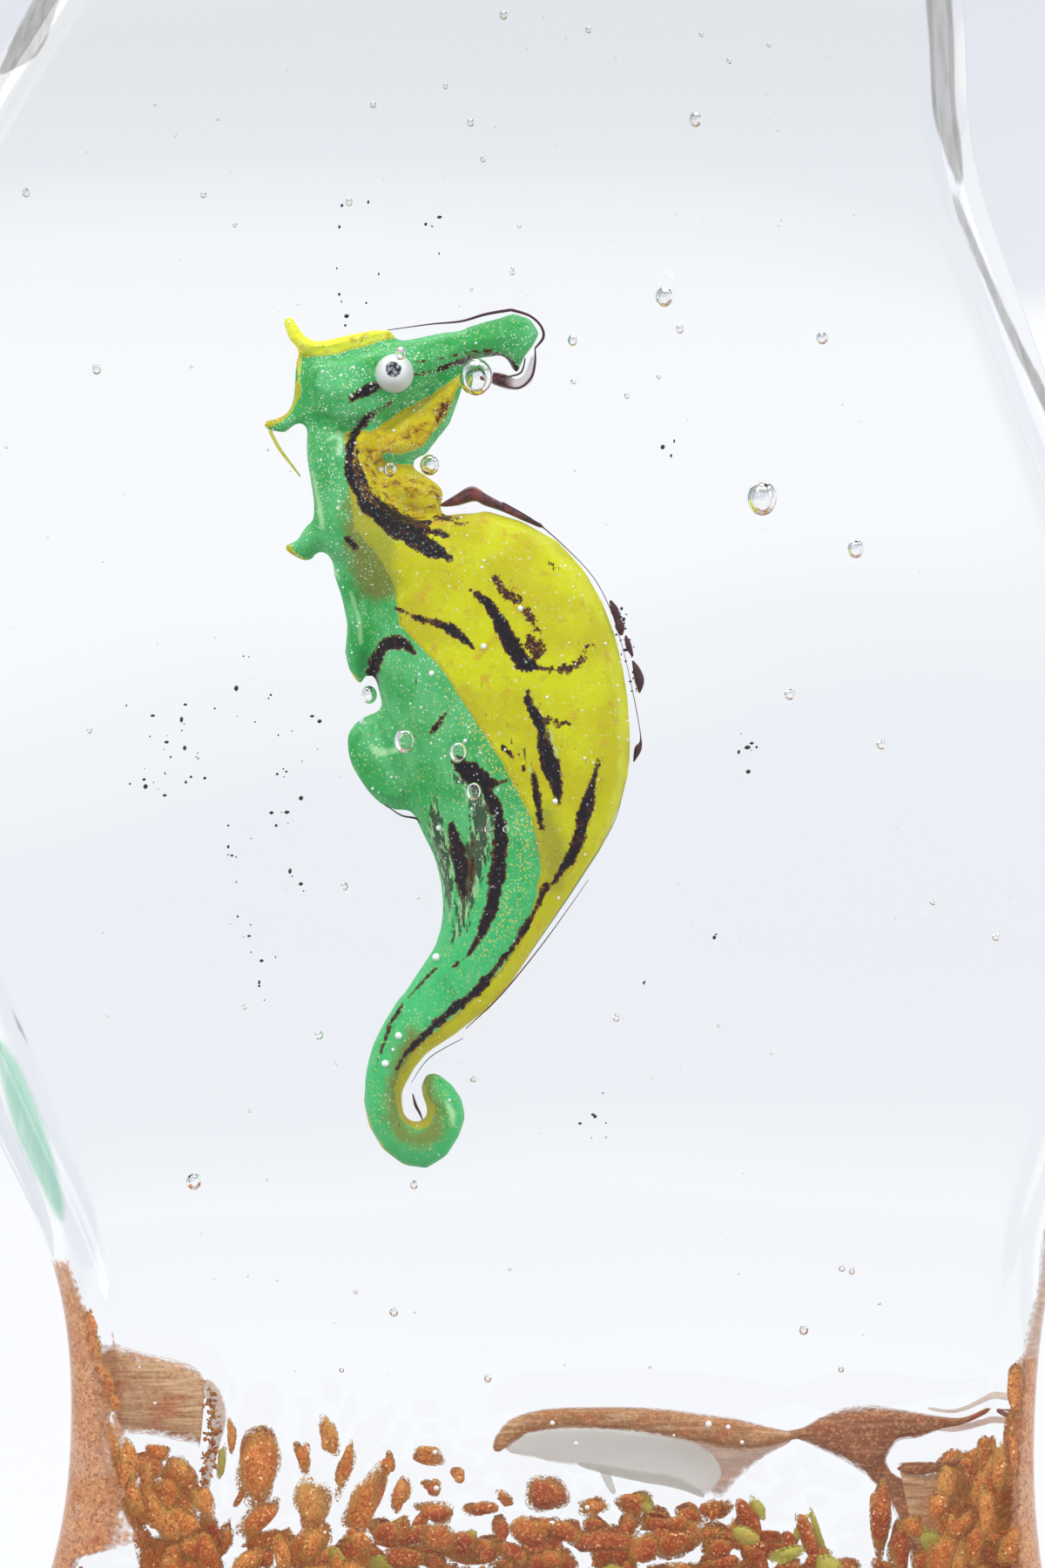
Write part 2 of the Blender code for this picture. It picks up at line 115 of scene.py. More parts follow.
class Finish:
    """A material. Every node is made by node(), from its type, its settings and its inputs."""

    def __init__(self, name):
        self.material = bpy.data.materials.new(name)
        self.material.use_nodes = True
        self.tree = self.material.node_tree
        self.tree.nodes.clear()

    def node(self, kind, settings=(), inputs=(), output=None):
        made = self.tree.nodes.new("ShaderNode" + kind)
        for name, value in dict(settings).items():
            setattr(made, name, value)
        for name, value in dict(inputs).items():
            if isinstance(name, int):
                socket = made.inputs[name]
            else:
                socket = next(s for s in made.inputs if s.enabled and s.name == name)
            if isinstance(value, Socket):
                self.tree.links.new(value.socket, socket)
            elif socket.type == "RGBA":
                socket.default_value = (*value[:3], 1.0)
            else:
                socket.default_value = value
        out = next(s for s in made.outputs if s.enabled and output in (None, s.name))
        return Socket(self, out)

    def over(self, colour, *coats):
        """A colour with coats over it, each given as its share and its own colour."""
        for share, coat in coats:
            colour = self.mix(share, colour, coat)
        return colour

    def mix(self, share, first, second):
        """Colour that goes from first to second as share goes from 0 to 1."""
        inputs = {"Factor": share, "A": first, "B": second}
        return self.node("Mix", {"data_type": "RGBA"}, inputs, "Result")

    def place(self, stretch=(1.0, 1.0, 1.0)):
        """Place on the object in mm, stretched."""
        where = self.node("TexCoord", output="Object")
        scale = [value / MM for value in stretch]
        return self.node("VectorMath", {"operation": "MULTIPLY"}, {0: where, 1: scale})

    def noise(self, size, detail=2.0, stretch=(1.0, 1.0, 1.0), rough=0.5):
        """Soft noise with blotches of about that size in mm."""
        inputs = {"Vector": self.place(stretch), "Scale": 1 / size, "Detail": detail, "Roughness": rough}
        return self.node("TexNoise", {}, inputs, "Fac")

    def grains(self, size, output="Distance"):
        """Distance from the middle of the nearest grain, as a share of that size in mm."""
        return self.node("TexVoronoi", {}, {"Vector": self.place(), "Scale": 1 / size}, output)

    def tone_of_grains(self, size):
        """A number from 0 to 1, another one for each grain."""
        return self.node("SeparateColor", {}, {"Color": self.grains(size, "Color")}, "Red")

    def along(self, axis):
        """One coordinate of the place on the object, in mm."""
        return self.node("SeparateXYZ", {}, {"Vector": self.place()}, axis)

    def measure(self, name):
        """A number kept at each point of the mesh."""
        return self.node("Attribute", {"attribute_name": name}, {}, "Fac")

    def bump(self, height, depth):
        """Normal of a surface whose height, from 0 to 1, stands for that depth in mm."""
        return self.node("Bump", {}, {"Height": height, "Distance": depth * MM, "Strength": 1.0})

    def surface(self, shader):
        end = self.tree.nodes.new("ShaderNodeOutputMaterial")
        self.tree.links.new(shader.socket, end.inputs["Surface"])
        return self.material

    def glaze(self, **inputs):
        """Principled shader with these inputs, their names written with underscores."""
        named = {name.replace("_", " ").title().replace("Ior", "IOR"): v for name, v in inputs.items()}
        return self.node("BsdfPrincipled", {}, named)


def grey(level):
    """A slightly cool grey."""
    return level, level * 1.008, level * 1.03, 1.0


STUDIO_RADIUS = 1600.0
STUDIO_BEND = 300.0  # radius of the curve from table to wall
STUDIO_WALL = 900.0
STUDIO_SIDES, STUDIO_BEND_STEPS = 96, 12
STUDIO_BANDS = (
    # distance from the middle, along table and wall, and glow there
    (0.0, 0.87), (1000.0, 0.885), (1310.0, 0.91), (1480.0, 0.83), (1590.0, 0.835), (1630.0, 0.885),
    (1668.0, 0.945), (1735.0, 0.945), (1758.0, 0.74), (1850.0, 0.70), (2600.0, 0.66),
)
STUDIO_DARK = 0.30  # share of the glow that is left behind the camera
STUDIO_FALL = (-900.0, 60.0)  # from front to back, where the glow comes up
STUDIO_TILT = -0.2  # of the bands across the view

bowl_finish = Finish("pale_studio")
spot = bowl_finish.along("X")
back = bowl_finish.along("Y")
away = (spot**2 + back**2) ** 0.5 + bowl_finish.along("Z") + spot * STUDIO_TILT
glow = STUDIO_BANDS[0][1]
for (start, low), (stop, high) in zip(STUDIO_BANDS, STUDIO_BANDS[1:]):
    if low != high:
        glow = glow + away.rise(start, stop) * (high - low)
glow = glow * (STUDIO_DARK + (1 - STUDIO_DARK) * back.rise(*STUDIO_FALL))
cool = {"Red": glow, "Green": glow * 0.93 + 0.073, "Blue": glow * 0.76 + 0.25}
bowl_shader = bowl_finish.glaze(
    base_color=grey(0.12),
    roughness=0.9,
    specular_ior_level=0.0,
    emission_color=bowl_finish.node("CombineColor", {}, cool),
    emission_strength=0.94,
)
bowl = bmesh.new()
table_edge = STUDIO_RADIUS - STUDIO_BEND
profile = [(0.0, 0.0), (table_edge, 0.0)]
for step in range(1, STUDIO_BEND_STEPS + 1):
    turn = math.radians(90 * step / STUDIO_BEND_STEPS)
    profile.append((table_edge + STUDIO_BEND * math.sin(turn), STUDIO_BEND * (1 - math.cos(turn))))
profile.append((STUDIO_RADIUS, STUDIO_WALL))
edge = [bowl.verts.new((r * MM, 0, z * MM)) for r, z in profile]
for first, second in zip(edge, edge[1:]):
    bowl.edges.new((first, second))
edge_parts = bowl.edges[:] + bowl.verts[:]
up = {"axis": (0, 0, 1), "cent": (0, 0, 0)}
bmesh.ops.spin(bowl, geom=edge_parts, angle=math.tau, steps=STUDIO_SIDES, **up)
bmesh.ops.remove_doubles(bowl, verts=bowl.verts, dist=MM)
bmesh.ops.recalc_face_normals(bowl, faces=bowl.faces)
bowl_mesh = bpy.data.meshes.new("studio")
bowl.to_mesh(bowl_mesh)
bowl.free()
bowl_mesh.shade_smooth()
bowl_mesh.materials.append(bowl_finish.surface(bowl_shader))
studio = bpy.data.objects.new("studio", bowl_mesh)
bpy.context.scene.collection.objects.link(studio)

world = bpy.data.worlds.new("sky")
world.use_nodes = True
world.node_tree.nodes["Background"].inputs["Color"].default_value = grey(0.55)
world.node_tree.nodes["Background"].inputs["Strength"].default_value = 1.0
bpy.context.scene.world = world
bpy.context.scene.view_settings.view_transform = "Standard"
bpy.context.scene.cycles.transmission_bounces = 16
bpy.context.scene.cycles.transparent_max_bounces = 32
bpy.context.scene.cycles.max_bounces = 20

LAMPS = (
    # name, place in metres, size, watts
    ("key", (-0.75, -0.85, 0.95), 0.7, 9.0),
    ("fill", (0.95, -0.60, 0.55), 0.8, 5.0),
    ("top", (0.1, 0.25, 1.25), 0.9, 7.0),
)
for name, place, size, watts in LAMPS:
    lamp = bpy.data.lights.new(name, "AREA")
    lamp.size, lamp.energy = size, watts
    holder = bpy.data.objects.new(name, lamp)
    holder.location = place
    aim = Vector((0, 0, VIEW_Z * MM)) - holder.location
    holder.rotation_euler = aim.to_track_quat("-Z", "Y").to_euler()
    bpy.context.scene.collection.objects.link(holder)

# ---------------------------------------------------------------------------------------------
# Clear body: one hot-shaped lump of colourless glass, fire-polished, slab-sided with round edges,
# narrow at the top and waisted above the foot. The bubbles are cavities in it.
# ---------------------------------------------------------------------------------------------
HEIGHT = 150.0
EDGES = (
    # height, left, right, half depth
    (0.0, -36.4, 41.9, 19.6),
    (2.0, -36.7, 41.8, 20.0),
    (11.4, -31.8, 39.1, 19.5),
    (21.5, -30.0, 38.3, 19.2),
    (33.1, -30.9, 39.4, 19.2),
    (44.7, -35.8, 42.8, 19.4),
    (59.9, -42.4, 45.6, 19.8),
    (80.1, -45.94, 45.0, 20.0),
    (100.3, -43.5, 38.0, 19.9),
    (112.5, -39.3, 34.1, 19.2),
    (125.1, -32.0, 33.3, 17.6),
    (150.0, -20.2, 30.3, 13.0),
)
CORNER = 3.4  # radius of the upright corners
FACE_SWELL = 0.4
CROWN_START, CROWN_POWER, CROWN_END = 126.0, 2.0, 0.9985
FOOT_EDGE, FOOT_ROUND = 1.2, 1.1  # width and height of the rounding at the foot's edge
FIRE_POLISH = 0.08  # lost on every side
BODY_LEVELS, CROWN_LEVELS = 150, 40
CORNER_STEPS, FACE_STEPS, SIDE_STEPS = 16, 36, 10
WAVE = 0.14  # of the hand-shaped faces
REFRACTION = 1.5


class Shape:
    """Points in mm and faces of one piece, gathered from closed forms."""

    def __init__(self):
        self.points, self.faces = [], []

    def add(self, points, faces, inward=False):
        start = len(self.points)
        self.points.extend(tuple(p) for p in points)
        for face in faces:
            turned = face[::-1] if inward else face
            self.faces.append(tuple(start + i for i in turned))

    def mesh(self, name):
        made = bpy.data.meshes.new(name)
        made.from_pydata([(x * MM, y * MM, z * MM) for x, y, z in self.points], [], self.faces)
        made.shade_smooth()
        return made


def add_piece(name, mesh, material, replaces=()):
    """Puts a mesh into the scene as a piece that rides on the body and stands for these nodes."""
    mesh.materials.append(material)
    piece = bpy.data.objects.new(name, mesh)
    bpy.context.scene.collection.objects.link(piece)
    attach(piece, "root")
    if replaces:
        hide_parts(*replaces)
    return piece


def ball(subdivisions):
    """Points and faces of a round ball of radius 1."""
    bm = bmesh.new()
    bmesh.ops.create_icosphere(bm, subdivisions=subdivisions, radius=1.0)
    points = np.array([v.co for v in bm.verts])
    faces = [tuple(v.index for v in f.verts) for f in bm.faces]
    bm.free()
    return points, faces


def between(a, b, slope_a, slope_b, t):
    """Smoothly from a to b as t goes from 0 to 1, with these slopes at the ends."""
    t2, t3 = t**2, t**3
    bend = (2 * t3 - 3 * t2 + 1) * a + (t3 - 2 * t2 + t) * slope_a
    return bend + (3 * t2 - 2 * t3) * b + (t3 - t2) * slope_b


def edge_values(height):
    """Left edge, right edge and half depth of the body at a height, smooth between those given."""
    last = len(EDGES) - 1
    low = max(i for i in range(last) if EDGES[i][0] <= height or i == 0)
    run = EDGES[low + 1][0] - EDGES[low][0]
    share = (height - EDGES[low][0]) / run
    values = []
    for column in (1, 2, 3):
        slopes = []
        for i in (low, low + 1):
            a, b = EDGES[max(i - 1, 0)], EDGES[min(i + 1, last)]
            slopes.append((b[column] - a[column]) / (b[0] - a[0]) * run)
        values.append(between(EDGES[low][column], EDGES[low + 1][column], *slopes, share))
    return values


def body_ring(height, inset=0.0):
    """Points round the body at a height, set in by so much."""
    left, right, depth = edge_values(height)
    closing = min(max(0.0, (height - CROWN_START) / (HEIGHT - CROWN_START)), CROWN_END)
    crown = (1 - closing**CROWN_POWER) ** (1 / CROWN_POWER)
    corner, half = CORNER * crown, (right - left) / 2 * crown - inset
    places = []
    for quarter in range(4):
        turn = math.radians(90 * quarter)
        flats = [(1, -1), (1, 1), (-1, 1), (-1, -1), (1, -1)]
        (x0, y0), (x1, y1) = flats[quarter], flats[quarter + 1]
        steps = FACE_STEPS if quarter % 2 else SIDE_STEPS
        for i in range(steps):
            x, y = x0 + (x1 - x0) * i / steps, y0 + (y1 - y0) * i / steps
            places.append((x, y, math.cos(turn), math.sin(turn)))
        for i in range(CORNER_STEPS):
            bend = turn + math.radians(90) * i / CORNER_STEPS
            places.append((x1, y1, math.cos(bend), math.sin(bend)))
    ring = []
    for across, inward, c, s in places:
        thick = depth * crown - inset - FACE_SWELL * crown * across**2
        face = 1 if s > 0 else 3
        wave = math.sin(height / 17 + 4 * across + face) * math.cos(height / 29 + 2 * across)
        thick -= WAVE * (1 + wave) / 2
        x = (left + right) / 2 + (half - corner) * across + corner * c
        ring.append((x, (thick - corner) * inward + corner * s, height))
    return ring


def keep_measure(mesh, name, values):
    """Stores a number at each point of a mesh, for its finish to read."""
    attribute = mesh.attributes.new(name, "FLOAT", "POINT")
    attribute.data.foreach_set("value", np.asarray(values, np.float32))


def curve_through(path, steps=5):
    """Points of a smooth curve through a path's own."""
    rows = np.array(path, float)
    out = []
    for i in range(len(rows) - 1):
        a, b = rows[i], rows[i + 1]
        before, after = rows[max(i - 1, 0)], rows[min(i + 2, len(rows) - 1)]
        for k in range(steps):
            out.append(between(a, b, (b - before) / 2, (after - a) / 2, k / steps))
    out.append(rows[-1])
    return np.array(out)


def depth_in(points, paths):
    """How far inside the nearest path each point lies, in mm. Rows of a path: x, z and width."""
    best = np.full(len(points), -9.0)
    flat = points[:, (0, 2)]
    for path in paths:
        rows = curve_through(path)
        for a, b in zip(rows, rows[1:]):
            run = b[:2] - a[:2]
            share = np.clip((flat - a[:2]) @ run / max(run @ run, 1e-9), 0, 1)
            gap = np.linalg.norm(flat - a[:2] - share[:, None] * run, axis=1)
            best = np.maximum(best, (a[2] + (b[2] - a[2]) * share) / 2 - gap)
    return best


def lofted(rings):
    """Points and faces of a closed form through rings of as many points each."""
    count = len(rings[0])
    points = [p for ring in rings for p in ring]
    faces = [tuple(range(count))[::-1], tuple(range(len(points) - count, len(points)))]
    for level in range(len(rings) - 1):
        for i in range(count):
            j = (i + 1) % count
            low, high = level * count, (level + 1) * count
            faces.append((low + i, low + j, high + j, high + i))
    return points, faces


def sight(x, y, z):
    """The place at depth y that shows where a point of the middle plane would."""
    spread = (VIEW_DISTANCE + y / REFRACTION) / VIEW_DISTANCE
    return VIEW_X + (x - VIEW_X) * spread, y, VIEW_Z + (z - VIEW_Z) * spread


def shown(x, y, z):
    """Where in the middle plane a point at depth y shows."""
    spread = 1 + y / REFRACTION / VIEW_DISTANCE
    return VIEW_X + (x - VIEW_X) / spread, VIEW_Z + (z - VIEW_Z) / spread


levels = [0.0, 0.5, FOOT_ROUND]
for step in range(1, BODY_LEVELS):
    levels.append(FOOT_ROUND + (CROWN_START - FOOT_ROUND) * step / BODY_LEVELS)
for step in range(CROWN_LEVELS):
    turn = math.radians(90 * step / (CROWN_LEVELS - 1))
    levels.append(CROWN_START + (HEIGHT - CROWN_START) * math.sin(turn))
insets = [FIRE_POLISH + FOOT_EDGE * max(0.0, 1 - z / FOOT_ROUND) ** 2 for z in levels]
clear_body = Shape()
clear_body.add(*lofted([body_ring(z, inset) for z, inset in zip(levels, insets)]))

# Bubbles trapped between the gathers: x, depth, z and radius of each large one.
BUBBLES = (
    (-1.3, -3.4, 97.3, 1.25), (-4.6, -3.0, 91.1, 0.7), (-7.4, -3.4, 90.8, 0.5), (19.2, -4.0, 88.7, 1.2),
    (25.9, -2.0, 85.1, 0.62), (12.2, -5.0, 103.0, 0.7), (14.4, 2.0, 115.2, 0.5),
    (23.5, -6.0, 100.1, 0.45), (13.3, 3.0, 100.7, 0.3), (5.6, -1.0, 99.9, 0.38),
    (21.1, 5.0, 74.7, 0.45), (27.7, -3.0, 71.1, 0.38), (-6.3, -4.6, 71.4, 0.9),
    (-2.5, -5.2, 70.6, 0.75), (-1.4, -5.2, 67.8, 0.62), (-8.9, -1.2, 74.7, 0.6),
    (-0.4, -5.0, 65.1, 0.28), (0.9, -5.0, 65.1, 0.28), (-21.4, -3.0, 39.9, 0.55),
    (-5.7, -2.0, 39.6, 0.3), (-10.7, -1.0, 61.0, 0.3), (8.8, 1.0, 51.7, 0.3), (-12.5, -2.0, 50.4, 0.32),
    (-7.1, -6.0, 30.4, 0.33), (-6.7, -4.7, 99.0, 0.42), (-0.4, -5.0, 25.6, 0.3),
    (22.2, -4.0, 29.1, 0.34), (24.9, 3.0, 33.6, 0.25), (25.6, 3.0, 33.4, 0.25), (35.9, -2.0, 57.4, 0.3),
    (-28.4, -3.0, 97.9, 0.38), (-33.4, 1.0, 110.1, 0.3), (-10.4, 0.0, 109.5, 0.3),
    (-1.7, -2.0, 115.1, 0.3), (0.7, 1.0, 122.5, 0.32), (36.4, -6.0, 26.4, 0.5), (4.4, -9.0, 15.1, 0.5),
    (9.5, -4.0, 96.0, 0.22), (-3.5, 2.0, 117.5, 0.22),
)
FINE_BUBBLES = 170
dice = random.Random(11)
ball_points, ball_faces = ball(3)
small_points, small_faces = ball(2)
for x, y, z, radius in BUBBLES:
    stretch = np.array((dice.uniform(0.9, 1.0), 0.9, dice.uniform(1.0, 1.15))) * radius
    clear_body.add(ball_points * stretch + np.array(sight(x, y, z)), ball_faces, inward=True)
for _ in range(FINE_BUBBLES):
    z = dice.uniform(24.0, 138.0)
    left, right, depth = edge_values(z)
    x = dice.uniform(left + 9, right - 9) * (1 if z < CROWN_START else 0.6)
    y = dice.uniform(-0.6, 0.6) * depth * (1 if z < CROWN_START else 0.5)
    radius = 0.06 + 0.2 * dice.random() ** 4
    clear_body.add(small_points * radius + np.array((x, y, z)), small_faces, inward=True)

# Painted shade and painted reflections tinted into the front of the glass along its edges: dark streaks,
# a green band and pale strips. Rows: x, z and width along each, as they are seen.
PAINTED_EDGE_SHADE = (
    ((32.0, 126.0, 1.9), (32.0, 124.5, 1.9), (32.2, 120.7, 1.8), (32.3, 117.0, 1.7), (32.8, 114.5, 1.4),
     (33.2, 112.6, 1.0), (33.5, 111.2, 0.2)),
    ((32.9, 110.9, 0.3), (33.9, 108.2, 0.55), (35.2, 105.1, 0.6), (37.4, 100.1, 0.7), (39.6, 95.7, 0.8),
     (41.6, 91.0, 0.6)),
    ((-31.2, 126.5, 1.8), (-32.2, 124.5, 1.9), (-33.5, 121.5, 2.3), (-34.9, 119.8, 0.9),
     (-35.6, 119.2, 0.2)),
    ((-36.6, 58.5, 0.25), (-35.4, 55.4, 0.3), (-32.8, 47.0, 0.3), (-30.4, 41.4, 0.32),
     (-29.0, 37.6, 0.3), (-27.9, 34.1, 0.4)),
)
# painted reflection: a green band at the lower left, where the seahorse shows in the side of the glass
PAINTED_GREEN_REFLECTION = (
    ((-35.8, 50.4, 0.6), (-34.9, 48.2, 1.4), (-33.5, 44.0, 2.1), (-32.2, 40.6, 1.7), (-31.3, 38.0, 1.0),
     (-31.0, 37.0, 0.3)),
)
# painted reflection: pale bluish strips beside the dark streaks, at the top right and the lower left
PAINTED_PALE_REFLECTION = (
    ((30.5, 126.0, 1.2), (30.5, 124.5, 1.2), (30.9, 118.0, 1.2), (31.8, 113.0, 1.2), (32.8, 108.5, 0.5)),
    ((-37.4, 58.0, 1.2), (-36.4, 55.0, 1.8), (-34.2, 49.0, 2.4), (-32.0, 43.0, 2.6), (-29.8, 37.0, 2.8),
     (-29.2, 34.0, 1.4)),
)
clear_mesh = clear_body.mesh("clear_body")
skin = np.array(clear_body.points)
seen_x, seen_z = shown(*skin.T)
seen = np.stack((seen_x, skin[:, 1], seen_z), axis=1)
for name, paths in (("smoke", PAINTED_EDGE_SHADE), ("mint", PAINTED_GREEN_REFLECTION), ("frost", PAINTED_PALE_REFLECTION)):
    depths = np.clip(depth_in(seen, paths), -3, 3)
    keep_measure(clear_mesh, name, np.where(skin[:, 1] < 0, depths, -3))
crystal = Finish("clear_crystal")
reed = crystal.noise(0.5, 3.0, stretch=(1.0, 1.0, 0.06)) - 0.5
# painted shade: the glass is tinted a little darker towards its top
shade = crystal.along("Z").rise(98.0, 106.0) * 0.03 + crystal.along("Z").rise(106.0, 122.0) * 0.08
# painted reflection in pale bluish grey
pale_reflection_share = (crystal.measure("frost") + reed * 0.3).rise(-0.1, 0.4)
# painted reflection of the seahorse in green
green_reflection_share = (crystal.measure("mint") + reed * 0.3).rise(-0.3, 0.3)
# painted shade: dark grey streaks along the edges of the glass
edge_shade_share = (crystal.measure("smoke") + reed * 0.25).rise(-0.12, 0.12)
# the glass's own faint tint, with painted shade and painted reflections over it
tint_with_painted_edges = crystal.over(
    crystal.mix(shade, (0.985, 0.992, 0.992), (0.0, 0.0, 0.0)),
    (pale_reflection_share, (0.86, 0.89, 0.92)),
    (green_reflection_share * 0.95, crystal.mix(reed.rise(-0.1, 0.2), (0.17, 0.50, 0.32), (0.32, 0.60, 0.45))),
    (edge_shade_share * 0.95, crystal.mix(reed.rise(-0.2, 0.2), (0.15, 0.14, 0.125), (0.27, 0.255, 0.235))),
)
crystal_glass = crystal.glaze(base_color=tint_with_painted_edges, roughness=0.0, ior=REFRACTION, transmission_weight=1.0)
see_through = crystal.node("BsdfTransparent", {}, {"Color": (0.97, 0.98, 0.98)})
lamp_rays = crystal.node("LightPath", output="Is Shadow Ray")
crystal_shader = crystal.node("MixShader", {}, {0: lamp_rays, 1: crystal_glass, 2: see_through})
halves = ("glass_front", "glass_back")
add_piece("clear_body", clear_mesh, crystal.surface(crystal_shader), halves)

# ---------------------------------------------------------------------------------------------
# Seahorse: green and yellow rods pulled and pressed into a flat figure at the torch, then cased.
# The rods are fused, so one skin stands for them, and the colours meet in it without a seam.
# ---------------------------------------------------------------------------------------------
GREEN_NODES = (
    "head", "snout", "mouth", "nape_spine_upper", "nape_spine_middle", "nape_spine_lower", "dorsal_fin",
    "neck_back", "trunk_back", "tail_upper_back", "tail_lower_back", "tail_curl",
)
YELLOW_NODES = (
    "throat", "crest", "chest_ruff", "neck_front", "belly", "tail_upper_front", "tail_lower_front",
)
SMOOTHING = 36  # rounds of it, as the rods melt together
SWELL = 0.38  # closes the gaps between the rods
ROUNDING = 0.06  # that the rods lose as they are smoothed
VOXEL = 0.15
NEAR = 2.5  # from a rod, where its distance still counts
MELTS = (
    # lumps that close the seams between rods: x, z, half width, half height, half depth
    (-8.9, 93.4, 1.4, 1.5, 2.2),
    (-13.1, 94.8, 1.2, 1.2, 1.6),
)


def rod(node, swell=0.0):
    """Points in mm and faces of a packed rod, swollen on every side."""
    bm = bmesh.new()
    bm.from_mesh(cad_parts[node].data)
    bmesh.ops.remove_doubles(bm, verts=bm.verts, dist=0.00001)
    bmesh.ops.recalc_face_normals(bm, faces=bm.faces)
    bm.normal_update()
    points = [v.co / MM + v.normal * swell for v in bm.verts]
    faces = [tuple(v.index for v in f.verts) for f in bm.faces]
    bm.free()
    return points, faces


def fused(name, nodes):
    """One mesh in mm from rods, fused as they melt together."""
    rods = Shape()
    for node in nodes:
        rods.add(*rod(node, SWELL))
    for x, z, wide, high, half in MELTS:
        rods.add(small_points * np.array((wide, half, high)) + np.array((x, 0, z)), small_faces)
    lump = bpy.data.meshes.new(name + "_rods")
    lump.from_pydata(rods.points, [], rods.faces)
    holder = bpy.data.objects.new(name + "_rods", lump)
    bpy.context.scene.collection.objects.link(holder)
    remesh = holder.modifiers.new("fuse", "REMESH")
    remesh.mode = "VOXEL"
    remesh.voxel_size = VOXEL
    smooth = holder.modifiers.new("melt", "SMOOTH")
    smooth.factor, smooth.iterations = 0.5, SMOOTHING
    evaluated = holder.evaluated_get(bpy.context.evaluated_depsgraph_get())
    mesh = bpy.data.meshes.new_from_object(evaluated)
    mesh.name = name
    bpy.data.objects.remove(holder)
    bm = bmesh.new()
    bm.from_mesh(mesh)
    bm.normal_update()
    for vert in bm.verts:
        vert.co -= vert.normal * (SWELL - ROUNDING)
    bm.to_mesh(mesh)
    bm.free()
    return mesh


def each_point(mesh, what):
    """Place or normal of each point of a mesh."""
    values = np.zeros(len(mesh.vertices) * 3, np.float32)
    mesh.vertices.foreach_get(what, values)
    return values.reshape(-1, 3)


def distance_to(points, nodes):
    """Distance in mm of each point from the nearest of these rods."""
    nearest = np.full(len(points), 1e9)
    for node in nodes:
        rod_points, rod_faces = rod(node)
        low, high = np.min(rod_points, 0) - NEAR, np.max(rod_points, 0) + NEAR
        tree = BVHTree.FromPolygons(rod_points, rod_faces)
        near = np.where(((points > low) & (points < high)).all(1))[0]
        for i in near:
            nearest[i] = min(nearest[i], tree.find_nearest(Vector(points[i]))[3])
    return nearest


